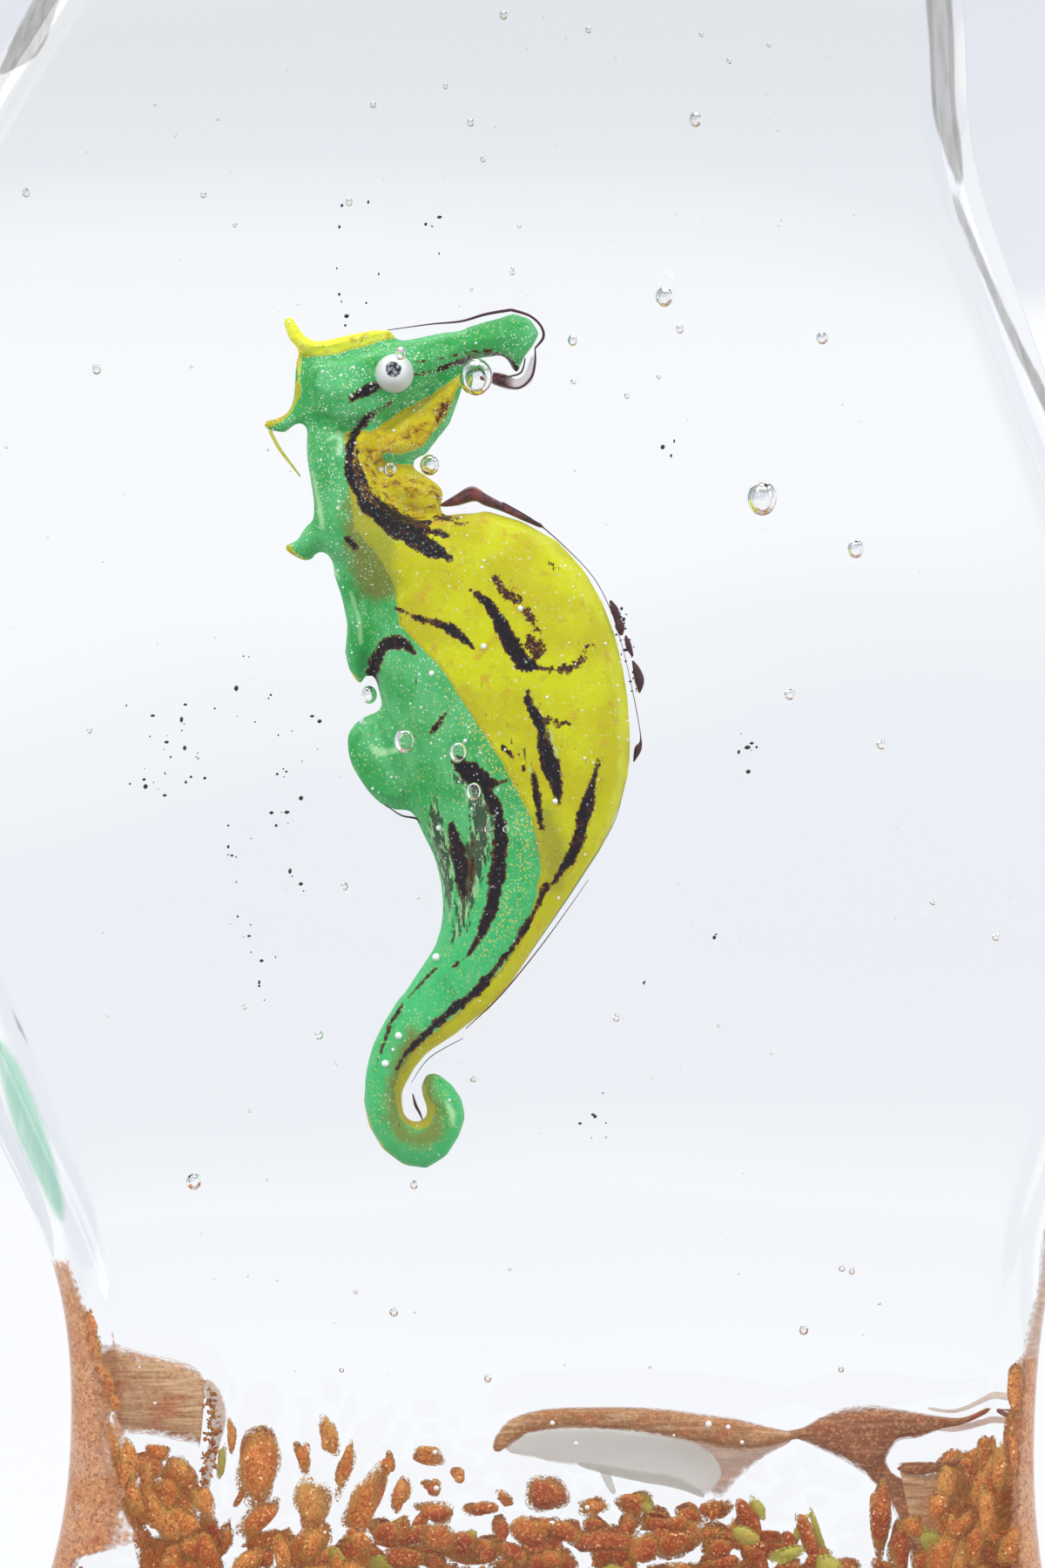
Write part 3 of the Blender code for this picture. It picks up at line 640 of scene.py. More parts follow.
# Stringers of dark purple glass melted into the rods: x, z and width along each.
DARK_STRINGERS = (
    # mouth line, cheek and jaw
    ((-5.8, 97.4, 0.25), (-4.4, 97.7, 0.35), (-2.8, 98.3, 0.45), (-1.6, 98.7, 0.3), (0.0, 98.9, 0.22),
     (1.0, 98.5, 0.3), (1.6, 97.8, 0.25)),
    ((-5.6, 98.3, 0.1), (-3.7, 98.5, 0.16), (-1.9, 99.0, 0.14), (0.0, 99.15, 0.1)),
    ((-10.1, 95.7, 0.3), (-9.2, 96.2, 0.75), (-8.1, 96.7, 0.5)),
    ((-7.3, 95.4, 0.15), (-9.3, 94.2, 0.35), (-10.1, 92.6, 0.4)),
    # neck to chest
    ((-8.7, 94.6, 0.25), (-9.9, 93.3, 0.6), (-10.3, 91.6, 0.8), (-10.1, 90.0, 0.75), (-9.3, 88.5, 0.8),
     (-8.0, 87.4, 1.2), (-6.5, 86.4, 1.5), (-5.2, 85.6, 1.5), (-4.2, 85.0, 1.2), (-3.5, 84.6, 0.7),
     (-3.0, 84.2, 0.2)),
    ((-5.4, 86.4, 0.5), (-4.2, 86.3, 0.6), (-3.2, 86.0, 0.3)),
    ((-9.6, 91.3, 0.2), (-9.2, 89.9, 0.4), (-8.2, 88.4, 0.5), (-6.9, 87.4, 0.6), (-5.4, 87.0, 0.5),
     (-4.4, 87.0, 0.3)),
    ((-10.5, 85.9, 0.4), (-9.8, 85.2, 0.5)),
    # chest and belly
    ((-7.0, 80.9, 0.2), (-5.1, 80.0, 0.5), (-3.0, 79.3, 0.7), (-1.4, 78.0, 0.3)),
    ((-1.6, 82.1, 0.3), (-0.4, 81.1, 0.8), (0.5, 79.8, 1.1), (1.4, 78.0, 1.3), (2.2, 76.9, 1.2),
     (3.8, 76.5, 0.3)),
    ((2.4, 75.0, 0.25), (2.5, 74.2, 0.7), (2.9, 73.2, 0.85), (3.3, 72.4, 0.6), (3.5, 71.9, 0.4)),
    ((3.3, 71.8, 0.4), (3.7, 70.8, 0.9), (4.1, 69.6, 1.2), (4.4, 68.5, 0.95), (4.6, 67.6, 0.5),
     (4.7, 67.0, 0.2)),
    ((2.8, 69.6, 0.2), (3.0, 68.2, 0.6), (3.4, 65.2, 0.4)),
    ((7.4, 69.6, 0.5), (6.6, 66.4, 1.0), (5.8, 63.7, 0.9), (4.6, 61.8, 0.35), (3.2, 59.6, 0.2)),
    ((0.7, 70.9, 0.25), (1.4, 70.2, 0.3)),
    ((1.8, 70.6, 0.25), (2.2, 69.4, 0.3)),
    # trunk
    ((-8.4, 74.6, 0.4), (-8.6, 76.4, 0.9), (-7.9, 78.0, 0.9), (-6.6, 78.4, 0.8), (-5.6, 77.6, 0.5)),
    ((-2.8, 70.0, 0.5), (-1.6, 69.2, 1.6), (-0.4, 68.3, 1.0), (1.0, 68.6, 0.2)),
    ((-0.6, 68.0, 0.8), (0.3, 66.4, 1.0), (0.5, 64.4, 1.1), (0.3, 62.0, 1.2), (-0.1, 59.5, 0.8),
     (-1.5, 56.6, 0.4), (-3.0, 55.2, 0.15)),
    ((-3.0, 65.4, 0.4), (-2.5, 63.2, 1.2), (-2.2, 61.0, 0.8), (-2.1, 60.2, 0.2)),
    ((-3.4, 73.4, 0.3), (-4.4, 72.0, 0.35)),
    ((-1.7, 66.0, 0.1), (-1.5, 63.0, 0.2), (-1.7, 60.4, 0.1)),
    # tail
    ((3.8, 61.0, 0.6), (2.4, 58.2, 0.45), (0.8, 56.0, 0.35), (-1.4, 53.5, 0.7), (-3.6, 51.7, 0.6),
     (-6.4, 48.9, 0.3), (-7.0, 47.6, 0.15)),
    ((-4.1, 55.2, 0.1), (-7.0, 52.0, 0.2), (-8.5, 47.7, 0.1)),
)
BROWN_STRINGERS = (
    ((-9.8, 92.0, 0.5), (-9.7, 90.0, 0.9), (-8.5, 88.2, 1.3), (-6.7, 87.0, 1.6), (-5.0, 86.4, 1.2)),
    ((-4.3, 87.4, 0.3), (-3.5, 87.2, 0.8), (-2.6, 86.9, 0.5), (-2.0, 86.9, 0.2)),
    ((0.0, 83.0, 0.5), (0.8, 82.0, 1.0), (1.6, 81.3, 0.8)),
    ((2.2, 80.6, 0.7), (2.8, 79.7, 0.5), (3.2, 79.2, 0.3)),
    ((2.5, 78.6, 0.6), (3.0, 78.0, 1.3), (3.1, 77.4, 0.8)),
    ((4.1, 76.4, 0.3), (5.9, 76.8, 0.6), (6.8, 78.2, 0.5)),
    ((-4.2, 87.3, 0.4), (-2.6, 87.1, 0.4)),
    ((6.5, 85.0, 0.2), (6.7, 84.0, 0.2)),
    ((3.6, 72.9, 0.35), (4.6, 72.6, 0.45), (5.4, 72.7, 0.4)),
    ((7.5, 70.0, 0.5), (7.0, 68.2, 0.7)),
    ((3.9, 84.0, 0.4), (4.2, 83.7, 0.3)),
    ((-4.4, 93.6, 0.3), (-3.4, 95.4, 0.35)),
)
THROAT = (
    # where the thin yellow of the throat and ruff shows torn brown seams
    ((-3.2, 95.4, 0.7), (-5.4, 93.0, 1.0), (-8.2, 92.4, 1.2), (-8.0, 89.8, 1.8), (-5.6, 88.6, 2.4),
     (-3.4, 87.6, 1.8)),
)
WISPS = (
    # hair-thin dark wisps that the flame pulled out of the stringers of trunk and tail
    ((-3.0, 69.0, 0.8), (-1.6, 68.0, 2.0), (-0.8, 65.4, 2.4), (-1.6, 62.4, 2.6), (-2.2, 59.0, 1.8),
     (-3.6, 56.0, 0.5)),
    ((-4.2, 67.4, 0.9), (-4.2, 65.8, 1.8), (-3.6, 63.2, 2.0), (-3.2, 60.6, 1.6), (-3.2, 58.2, 0.8)),
    ((0.6, 72.0, 0.3), (2.4, 70.0, 0.8), (3.2, 67.0, 0.7), (3.4, 64.4, 0.3)),
    ((2.6, 74.8, 0.8), (3.6, 72.4, 1.4), (4.6, 69.0, 1.2)),
)
GOLD_DUST = (
    # fine gold dust on the green, beside the long stringer of trunk and tail
    ((-3.4, 75.0, 0.8), (-1.0, 71.6, 1.4), (1.4, 68.0, 1.6), (2.2, 64.6, 2.2), (1.6, 61.0, 2.0),
     (0.2, 57.6, 1.2), (-2.4, 55.0, 0.6)),
)
OLIVE_SHADES = (
    # where green and yellow melt together, and the olive inner side of the tail
    ((-9.6, 88.6, 1.6), (-8.9, 85.8, 3.2), (-8.3, 83.0, 2.8)),
    ((-5.8, 50.5, 0.5), (-6.7, 48.0, 0.9), (-7.3, 45.6, 0.9), (-6.9, 43.9, 1.1), (-5.6, 43.0, 1.2),
     (-4.3, 43.5, 1.2)),
    ((-4.3, 43.5, 1.2), (-4.1, 44.8, 1.2), (-4.6, 46.0, 0.9), (-4.7, 47.2, 0.7)),
    ((3.6, 66.0, 1.2), (4.4, 63.0, 1.6), (4.2, 61.0, 0.8)),
)
YELLOW_TOUCHES = (
    ((-2.9, 50.3, 0.5), (-6.0, 48.0, 0.9), (-6.6, 46.2, 0.8), (-6.4, 44.8, 0.7), (-5.9, 44.2, 0.7),
     (-5.3, 43.9, 0.7)),
    ((-5.3, 43.9, 0.7), (-4.7, 44.3, 0.6), (-4.5, 45.0, 0.5), (-4.9, 46.0, 0.4), (-5.1, 46.8, 0.3)),
    ((-1.6, 97.8, 0.3), (-0.2, 98.3, 0.5), (0.9, 98.3, 0.4)),
    ((-14.0, 99.4, 0.4), (-13.9, 97.4, 0.35), (-14.1, 95.6, 0.3), (-15.3, 94.3, 0.4),
     (-16.5, 94.0, 0.7)),
    ((-14.9, 85.3, 0.5), (-13.7, 84.3, 0.3), (-11.5, 83.4, 0.25)),
    ((-11.2, 80.6, 0.15), (-10.9, 78.6, 0.2), (-10.6, 76.8, 0.15), (-9.9, 75.7, 0.5)),
    ((-9.4, 47.6, 0.1), (-9.2, 44.6, 0.3), (-8.2, 42.4, 0.4), (-6.4, 40.9, 0.4), (-4.6, 40.5, 0.35)),
)
GREEN_TOUCHES = (
    ((-2.2, 96.7, 0.5), (-2.8, 95.3, 0.6), (-3.6, 93.7, 0.7), (-4.8, 92.2, 0.8), (-6.4, 91.5, 0.8),
     (-7.6, 91.6, 0.6)),
    ((-2.6, 97.7, 0.5), (-4.3, 96.7, 0.8), (-6.0, 95.5, 0.6)),
)
# painted highlights: light green streaks on the dorsal fin and along edges of the neck, back and tail
PAINTED_HIGHLIGHT_TOUCHES = (
    ((-8.8, 71.0, 0.3), (-8.0, 70.6, 0.6), (-6.8, 70.8, 0.5)),
    ((-10.2, 82.0, 0.2), (-9.6, 80.0, 0.3), (-9.5, 78.4, 0.2)),
    ((-12.9, 90.6, 0.2), (-12.4, 88.0, 0.3), (-12.2, 86.6, 0.2)),
    ((-13.2, 84.2, 0.2), (-11.9, 84.1, 0.3), (-11.0, 83.0, 0.2)),
    ((-3.4, 45.6, 0.2), (-3.0, 44.8, 0.4), (-2.9, 44.0, 0.2)),
    ((-11.9, 92.8, 0.2), (-11.0, 93.2, 0.5), (-11.0, 91.9, 0.4)),
)
MOSS_TOUCHES = (
    ((-9.0, 81.0, 0.4), (-8.8, 79.4, 0.9), (-9.2, 77.6, 0.4)),
    ((-9.6, 72.0, 0.2), (-9.9, 70.6, 0.7), (-9.0, 69.2, 0.4)),
    ((-3.6, 45.2, 0.3), (-3.3, 43.8, 0.4)),
    ((-12.8, 88.8, 0.5), (-12.6, 86.6, 0.7)),
)

figure_mesh = fused("seahorse", GREEN_NODES + YELLOW_NODES)
figure_points = each_point(figure_mesh, "co").astype(float)
to_green = distance_to(figure_points, GREEN_NODES)
to_yellow = distance_to(figure_points, YELLOW_NODES)
yellowness = np.maximum(np.clip(to_green - to_yellow, -3, 3), depth_in(figure_points, YELLOW_TOUCHES))
yellowness = np.minimum(yellowness, -depth_in(figure_points, GREEN_TOUCHES))
keep_measure(figure_mesh, "yellow", np.clip(yellowness, -3, 3))
for name, paths in (
    ("dark", DARK_STRINGERS),
    ("brown", BROWN_STRINGERS),
    ("olive", OLIVE_SHADES),
    ("pale", PAINTED_HIGHLIGHT_TOUCHES),
    ("moss", MOSS_TOUCHES),
    ("throat", THROAT),
    ("wisps", WISPS),
    ("dust", GOLD_DUST),
):
    keep_measure(figure_mesh, name, np.clip(depth_in(figure_points, paths), -3, 3))
figure_normals = each_point(figure_mesh, "normal")
figure_mesh.transform(Matrix.Scale(MM, 4))
figure_mesh.shade_smooth()

rods = Finish("green_and_yellow_rod")
wander = rods.noise(1.3, 3.0) - 0.5
ragged = rods.noise(0.35, 4.0, rough=0.7) - 0.5
crumbs = rods.grains(0.3)
height = rods.along("Z")
streaks = rods.noise(0.8, 4.0, stretch=(1.0, 1.0, 0.35), rough=0.65)
green = rods.over(
    rods.mix(rods.noise(3.0, 4.0).rise(0.38, 0.62), (0.045, 0.38, 0.085), (0.10, 0.50, 0.17)),
    (height.rise(70.0, 58.0) * 0.8, (0.055, 0.53, 0.17)),
    (streaks.rise(0.52, 0.72) * 0.6, (0.15, 0.52, 0.20)),
    (streaks.rise(0.45, 0.30) * 0.5, (0.02, 0.27, 0.06)),
)
torn = rods.noise(0.6, 4.0, stretch=(0.5, 1.0, 1.0), rough=0.7)
near_throat = rods.measure("throat").rise(-0.9, 0.3)
yellow = rods.over(
    rods.mix(rods.noise(3.5, 3.0).rise(0.35, 0.65), (0.53, 0.49, 0.0), (0.62, 0.64, 0.0)),
    # tail, throat and crest are rods of other yellows
    (height.rise(70.0, 60.0) * 0.5, (0.54, 0.52, 0.01)),
    (height.rise(86.0, 90.0) * 0.8, (0.66, 0.52, 0.0)),
    (height.rise(96.0, 98.0) * 0.9, (0.84, 0.86, 0.05)),
    (rods.noise(1.2, 4.0).rise(0.58, 0.72) * 0.7, (0.58, 0.34, 0.02)),
    (rods.noise(0.9, 4.0).rise(0.42, 0.28) * 0.4, (0.42, 0.42, 0.02)),
    (torn.rise(0.46, 0.56) * near_throat * 0.75, (0.46, 0.25, 0.0)),
    (torn.rise(0.57, 0.63) * near_throat * 0.85, (0.14, 0.06, 0.004)),
)
border = rods.measure("yellow") + wander * 0.6 + ragged * 0.2
is_yellow = border.rise(-0.06, 0.06)
olive = (rods.measure("olive") + wander * 1.4 + ragged * 0.7).rise(-0.8, 0.5)
moss = (rods.measure("moss") + wander).rise(-0.3, 0.3)
# painted highlights, read from the pale touches
pale = (rods.measure("pale") + wander * 0.4).rise(-0.15, 0.15)
flecks = rods.grains(0.27).rise(0.30, 0.14) * rods.noise(2.6, 2.0).rise(0.38, 0.50)
brown = (rods.measure("brown") + wander * 0.8 + ragged * 1.6 - crumbs * 0.1).rise(-0.03, 0.08)
hairs = rods.noise(0.3, 4.0, stretch=(1.0, 1.0, 0.22), rough=0.65) - 0.5
wispy = rods.measure("wisps").rise(-0.4, 1.2)
gilded = (rods.measure("dust") + wander * 1.5).rise(-0.4, 0.5)
dark_in = rods.measure("dark") + wander * 0.8 + ragged * 0.7 + 0.04 - crumbs * 0.04
dark = dark_in.rise(-0.02, 0.07)
dark_colour = rods.over(
    rods.mix(dark_in.rise(0.03, 0.20), (0.12, 0.045, 0.010), (0.009, 0.005, 0.004)),
    (rods.noise(0.5, 4.0).rise(0.56, 0.68) * 0.5, (0.09, 0.018, 0.010)),
)
foam = rods.noise(3.0, 2.0).rise(0.32, 0.55) * (0.3 + 0.7 * height.rise(56.0, 78.0))
dots = rods.grains(0.34).rise(0.22, 0.12) * foam * (1 - is_yellow * 0.7)
big_dots = rods.grains(0.95).rise(0.13, 0.09) * foam * (1 - is_yellow * 0.6)
froth = rods.noise(1.4, 3.0).rise(0.44, 0.58) * height.rise(80.0, 92.0) * (1 - is_yellow * 0.5)
colour = rods.over(
    rods.mix(is_yellow, green, yellow),
    (border.rise(0.0, 0.12) * border.rise(0.45, 0.12) * 0.6, (0.36, 0.27, 0.02)),
    (olive * 0.85, rods.mix(is_yellow, (0.19, 0.19, 0.02), (0.33, 0.34, 0.02))),
    (moss * 0.7, (0.02, 0.33, 0.05)),
    # painted highlights in light green
    (pale * 0.75, (0.45, 0.80, 0.40)),
    (flecks * (0.8 - is_yellow * 0.5), (0.50, 0.56, 0.16)),
    (brown, rods.mix(crumbs.rise(0.2, 0.5), (0.22, 0.09, 0.005), (0.05, 0.015, 0.005))),
    ((wispy * 0.30 - hairs).rise(0.20, 0.26) * 0.6, (0.42, 0.62, 0.30)),
    (rods.grains(0.24).rise(0.36, 0.22) * gilded * 0.85, (0.74, 0.62, 0.10)),
    ((hairs + wispy * 0.31).rise(0.18, 0.21) * 0.85, (0.030, 0.022, 0.016)),
    (dark, dark_colour),
    ((dots * 0.75).most(big_dots * 0.9), (0.78, 0.92, 0.80)),
    (rods.grains(0.22).rise(0.32, 0.18) * froth * 0.85, (0.76, 0.91, 0.78)),
    # darkens every colour by a quarter, to make up for the painted glow below
    (0.25, (0.0, 0.0, 0.0)),
)
# painted light: the rods glow a little in their own colour, which flattens their shading
rod_shader = rods.glaze(
    base_color=colour,
    roughness=0.5 - dark * 0.15,
    specular_ior_level=0.1,
    emission_color=colour,
    emission_strength=0.32,
    normal=rods.bump(rods.noise(0.6, 4.0) + ragged * 0.5, 0.09),
)
add_piece("seahorse", figure_mesh, rods.surface(rod_shader), GREEN_NODES + YELLOW_NODES)

# ---------------------------------------------------------------------------------------------
# Eyes: a white bead fused on each side of the head, with a dark chip set in it as a pupil. The
# chip is aventurine and glints silver.
# ---------------------------------------------------------------------------------------------
EYE_X, EYE_Z = -7.1, 97.5
EYE_RADIUS, EYE_DEPTH, EYE_SEAT = 1.38, 1.75, 2.85
PUPIL_X, PUPIL_Z, PUPIL_RADIUS = -7.15, 97.75, 0.56

bead = Finish("white_bead")
pupil_x = bead.along("X") - PUPIL_X
pupil_z = bead.along("Z") - PUPIL_Z
pupil_gap = (pupil_x**2 + pupil_z**2) ** 0.5 + (bead.noise(0.5, 3.0) - 0.5) * 0.3
chip = pupil_gap.rise(PUPIL_RADIUS + 0.05, PUPIL_RADIUS - 0.05)
glints = bead.tone_of_grains(0.2).rise(0.62, 0.85)
chip_colour = bead.mix(glints * 0.8, (0.012, 0.012, 0.015), (0.42, 0.43, 0.46))
pearl = bead.mix(pupil_gap.rise(0.55, 1.2), (0.80, 0.83, 0.80), (0.60, 0.64, 0.60))
bead_colour = bead.mix(chip, pearl, chip_colour)
bead_shader = bead.glaze(base_color=bead_colour, roughness=0.25, specular_ior_level=0.3)
bead_material = bead.surface(bead_shader)
eye_points, eye_faces = ball(4)
for name, side in (("eye_front", -1), ("eye_back", 1)):
    eye = Shape()
    centre = np.array((EYE_X, side * EYE_SEAT, EYE_Z))
    eye.add(eye_points * np.array((EYE_RADIUS, EYE_DEPTH, EYE_RADIUS)) + centre, eye_faces)
    add_piece(name + "_bead", eye.mesh(name), bead_material, (name,))

# ---------------------------------------------------------------------------------------------
# Lower lip and breast ridge: two dabs of see-through purple glass, pulled out thin beside the
# mouth and the breast.
# ---------------------------------------------------------------------------------------------
def pressed(rows, sides=20, steps=4, square=1.0):
    """Rings of a flat rod through rows of: x, z of one edge, x, z of the other, depth, half depth."""
    dense = curve_through(rows, steps)
    rings = []
    last = len(dense) - 1
    for i, (x0, z0, x1, z1, y, half) in enumerate(dense):
        middle = np.array(((x0 + x1) / 2, y, (z0 + z1) / 2))
        run = np.array(((x1 - x0) / 2, 0, (z1 - z0) / 2))
        near = min(i, last - i) / max(steps * ROUND_ENDS, 1)
        taper = math.sqrt(max(0.02, 1 - (1 - min(near, 1)) ** 2))
        ring = []
        for k in range(sides):
            turn = math.tau * k / sides
            c, s = (math.copysign(abs(v) ** square, v) for v in (math.cos(turn), math.sin(turn)))
            ring.append(middle + run * c * taper + np.array((0, -half * s * taper, 0)))
        rings.append(ring)
    return rings


def tube(path, sides=8):
    """Rings of a thin thread through rows of: x, depth, z and radius."""
    dense = curve_through(path, 6)
    rings = []
    for i, (x, y, z, radius) in enumerate(dense):
        ahead = dense[min(i + 1, len(dense) - 1)][:3] - dense[max(i - 1, 0)][:3]
        ahead = Vector(ahead).normalized()
        side = ahead.cross(Vector((0, 1, 0))).normalized()
        up = side.cross(ahead)
        ring = []
        for k in range(sides):
            turn = math.tau * k / sides
            offset = (side * math.cos(turn) + up * math.sin(turn)) * radius
            ring.append((x + offset.x, y + offset.y, z + offset.z))
        rings.append(ring)
    return rings


ROUND_ENDS = 0.35  # how far the rounding of an end reaches to the next row
LIP = (
    (-0.4, 96.9, -0.2, 97.7, 0.0, 0.7),
    (0.7, 96.5, 0.8, 97.5, 0.0, 1.0),
    (1.7, 96.4, 1.5, 97.2, 0.0, 1.0),
    (2.6, 96.9, 2.0, 97.4, 0.0, 0.9),
    (2.95, 97.9, 2.3, 97.9, 0.0, 0.8),
    (3.0, 98.9, 2.6, 98.8, 0.0, 0.5),
)
RIDGE = (
    (-3.9, 88.3, -3.8, 88.1, 0.0, 0.5),
    (-2.9, 88.9, -2.6, 88.2, 0.0, 0.9),
    (-1.6, 89.6, -1.4, 88.5, 0.0, 1.1),
    (-0.5, 89.0, -0.7, 88.2, 0.0, 0.9),
    (0.6, 88.4, 0.5, 87.8, 0.0, 0.7),
    (2.2, 87.5, 2.1, 87.1, 0.0, 0.5),
    (3.6, 86.8, 3.5, 86.5, 0.0, 0.3),
)
dab = Finish("purple_dab")
dab_dark = dab.noise(0.8, 4.0).rise(0.38, 0.62)
lip_side = dab.along("X").rise(0.6, 1.6) * dab.along("Z").rise(92.0, 93.0)
dab_colour = dab.over(
    dab.mix(dab_dark, (0.20, 0.035, 0.03), (0.045, 0.008, 0.01)),
    (lip_side * 0.9, (0.50, 0.36, 0.36)),
)
dab_alpha = 0.92 - lip_side * 0.62
dab_shader = dab.glaze(base_color=dab_colour, roughness=0.15, specular_ior_level=0.4, alpha=dab_alpha)
dab_material = dab.surface(dab_shader)
for name, rows, node in (("lip", LIP, "lower_lip"), ("ridge", RIDGE, "breast_ridge")):
    piece = Shape()
    piece.add(*lofted(pressed(rows)))
    add_piece(name, piece.mesh(name), dab_material, (node,))

# ---------------------------------------------------------------------------------------------
# Threads: hair-thin purple, blue and yellow lines where the casing glass folded round the
# seahorse, most of them just clear of its edge.
# ---------------------------------------------------------------------------------------------
PURPLE_THREADS = (
    # depth of each, then x, z and radius along it
    (-1.0, (-7.6, 100.6, 0.03), (-4.6, 101.0, 0.05), (-2.4, 101.2, 0.08), (-0.6, 101.7, 0.1),
     (1.2, 102.0, 0.11)),
    (-1.0, (1.2, 102.0, 0.11), (2.5, 101.6, 0.09), (3.3, 100.9, 0.09), (3.5, 100.1, 0.1),
     (2.9, 99.3, 0.07)),
    (-1.0, (2.9, 99.3, 0.05), (2.9, 98.3, 0.08), (2.6, 97.2, 0.09), (1.7, 96.5, 0.08),
     (0.5, 96.8, 0.05), (-0.1, 97.6, 0.03)),
    (-1.2, (2.2, 98.6, 0.05), (1.9, 97.6, 0.07), (1.0, 97.3, 0.06)),
    (-0.6, (0.6, 88.4, 0.07), (3.0, 87.0, 0.05), (5.4, 84.9, 0.035), (7.2, 82.9, 0.03),
     (8.4, 80.6, 0.03)),
    (-0.6, (8.4, 80.6, 0.03), (9.3, 77.6, 0.02), (10.1, 74.0, 0.03), (10.5, 71.6, 0.05),
     (10.3, 70.8, 0.26), (10.0, 69.9, 0.04)),
    (-0.5, (-7.8, 66.9, 0.03), (-6.6, 66.1, 0.06), (-5.4, 65.8, 0.08), (-4.9, 64.8, 0.05)),
    (-0.5, (-5.8, 46.2, 0.04), (-5.6, 45.4, 0.11), (-5.3, 44.8, 0.09), (-5.1, 44.3, 0.04)),
    (-0.6, (8.3, 81.4, 0.08), (8.6, 80.7, 0.3), (8.8, 80.1, 0.2), (9.0, 79.5, 0.34), (9.1, 78.9, 0.1)),
    (-0.6, (9.4, 78.9, 0.06), (9.6, 78.2, 0.22), (9.9, 77.4, 0.08)),
    (-0.6, (9.9, 77.1, 0.06), (10.2, 76.4, 0.28), (10.4, 75.6, 0.34), (10.4, 74.8, 0.06)),
    (-1.5, (6.8, 61.5, 0.02), (3.7, 57.2, 0.04), (0.6, 53.4, 0.05), (-2.0, 50.9, 0.03)),
)
BLUE_THREADS = (
    (-0.8, (9.4, 68.6, 0.02), (8.7, 65.8, 0.03), (7.0, 62.8, 0.03), (4.5, 59.0, 0.03),
     (2.3, 55.9, 0.02)),
    (-0.8, (-2.2, 50.2, 0.03), (-4.6, 48.8, 0.04), (-5.9, 47.0, 0.02)),
)
YELLOW_THREADS = (
    (-0.4, (-16.0, 93.6, 0.12), (-15.3, 92.3, 0.12), (-14.4, 91.1, 0.09), (-13.8, 90.3, 0.05)),
)
for name, paths, colour, slot in (
    ("purple_threads", PURPLE_THREADS, (0.06, 0.012, 0.02), "purple_glass"),
    ("blue_threads", BLUE_THREADS, (0.16, 0.20, 0.38), "purple_glass"),
    ("yellow_threads", YELLOW_THREADS, (0.55, 0.52, 0.04), "yellow_glass"),
):
    thread = Finish(name)
    thread_shader = thread.glaze(base_color=colour, roughness=0.3, specular_ior_level=0.3)
    threads = Shape()
    for depth, *rows in paths:
        threads.add(*lofted(tube([(x, depth, z, radius) for x, z, radius in rows])))
    add_piece(name, threads.mesh(name), thread.surface(thread_shader))

# ---------------------------------------------------------------------------------------------
# Seeds and specks: pinhead bubbles that cling to the seahorse and look white, and black crumbs
# of scale that drifted off into the clear glass.
# ---------------------------------------------------------------------------------------------
SEEDS = (
    # x, z and radius of the larger ones
    (-4.1, 56.0, 0.3), (-6.8, 50.4, 0.27), (-7.75, 48.4, 0.27), (-0.7, 78.1, 0.22), (4.4, 67.1, 0.2),
    (1.9, 80.8, 0.2), (-4.4, 76.2, 0.2), (-3.9, 65.2, 0.2), (-2.0, 71.4, 0.15), (-7.2, 49.4, 0.12),
    (-8.1, 90.8, 0.25), (-4.9, 91.2, 0.3),
)
FINE_SEEDS = 900
seeds = Shape()
dice = random.Random(5)
tiny_points, tiny_faces = ball(1)
front = np.where(figure_normals[:, 1] < -0.6)[0]
for x, z, radius in SEEDS:
    near = front[np.argmin(np.hypot(figure_points[front, 0] - x, figure_points[front, 2] - z))]
    place = (x, figure_points[near, 1] - radius * 0.3, z)
    seeds.add(small_points * radius + np.array(place), small_faces)
for _ in range(FINE_SEEDS):
    i = dice.randrange(len(figure_points))
    x, y, z = figure_points[i]
    if abs(figure_normals[i, 1]) < 0.35 or (z < 70 and dice.random() < 0.45):
        continue
    radius = 0.04 + 0.09 * dice.random() ** 4
    seeds.add(tiny_points * radius + figure_points[i] + figure_normals[i] * 0.03, tiny_faces)
pinhead = Finish("pinhead_bubble")
pinhead_shader = pinhead.glaze(base_color=(0.86, 0.90, 0.88), roughness=0.3, specular_ior_level=0.5)
pinhead_material = pinhead.surface(pinhead_shader)
add_piece("seeds", seeds.mesh("seeds"), pinhead_material)

SWARMS = (
    # x, z, spread and number of specks
    (-23.0, 71.0, 2.2, 14), (-22.4, 69.0, 1.8, 12), (-15.0, 66.4, 1.2, 7), (-14.0, 61.7, 1.0, 5),
    (-17.6, 75.1, 2.0, 9), (-18.6, 64.4, 1.6, 7), (-16.4, 54.2, 1.6, 6), (-17.6, 58.6, 1.4, 5),
    (-14.2, 71.5, 2.0, 7), (18.1, 71.0, 0.8, 6), (15.8, 57.75, 0.4, 2), (7.0, 44.6, 1.6, 6),
    (10.5, 54.2, 0.5, 2), (12.4, 91.9, 0.6, 3), (-10.7, 102.4, 0.5, 2), (-9.6, 106.0, 2.0, 8),
    (-4.0, 107.0, 2.0, 7), (9.0, 80.1, 0.5, 16), (9.4, 78.3, 0.5, 12), (10.1, 75.9, 0.5, 12),
)
BIG_SPECKS = (
    # x, z and radius
    (18.1, 70.9, 0.2), (18.4, 71.2, 0.14), (-14.8, 66.3, 0.17), (-23.4, 71.3, 0.15), (7.1, 44.7, 0.13),
)
specks = Shape()
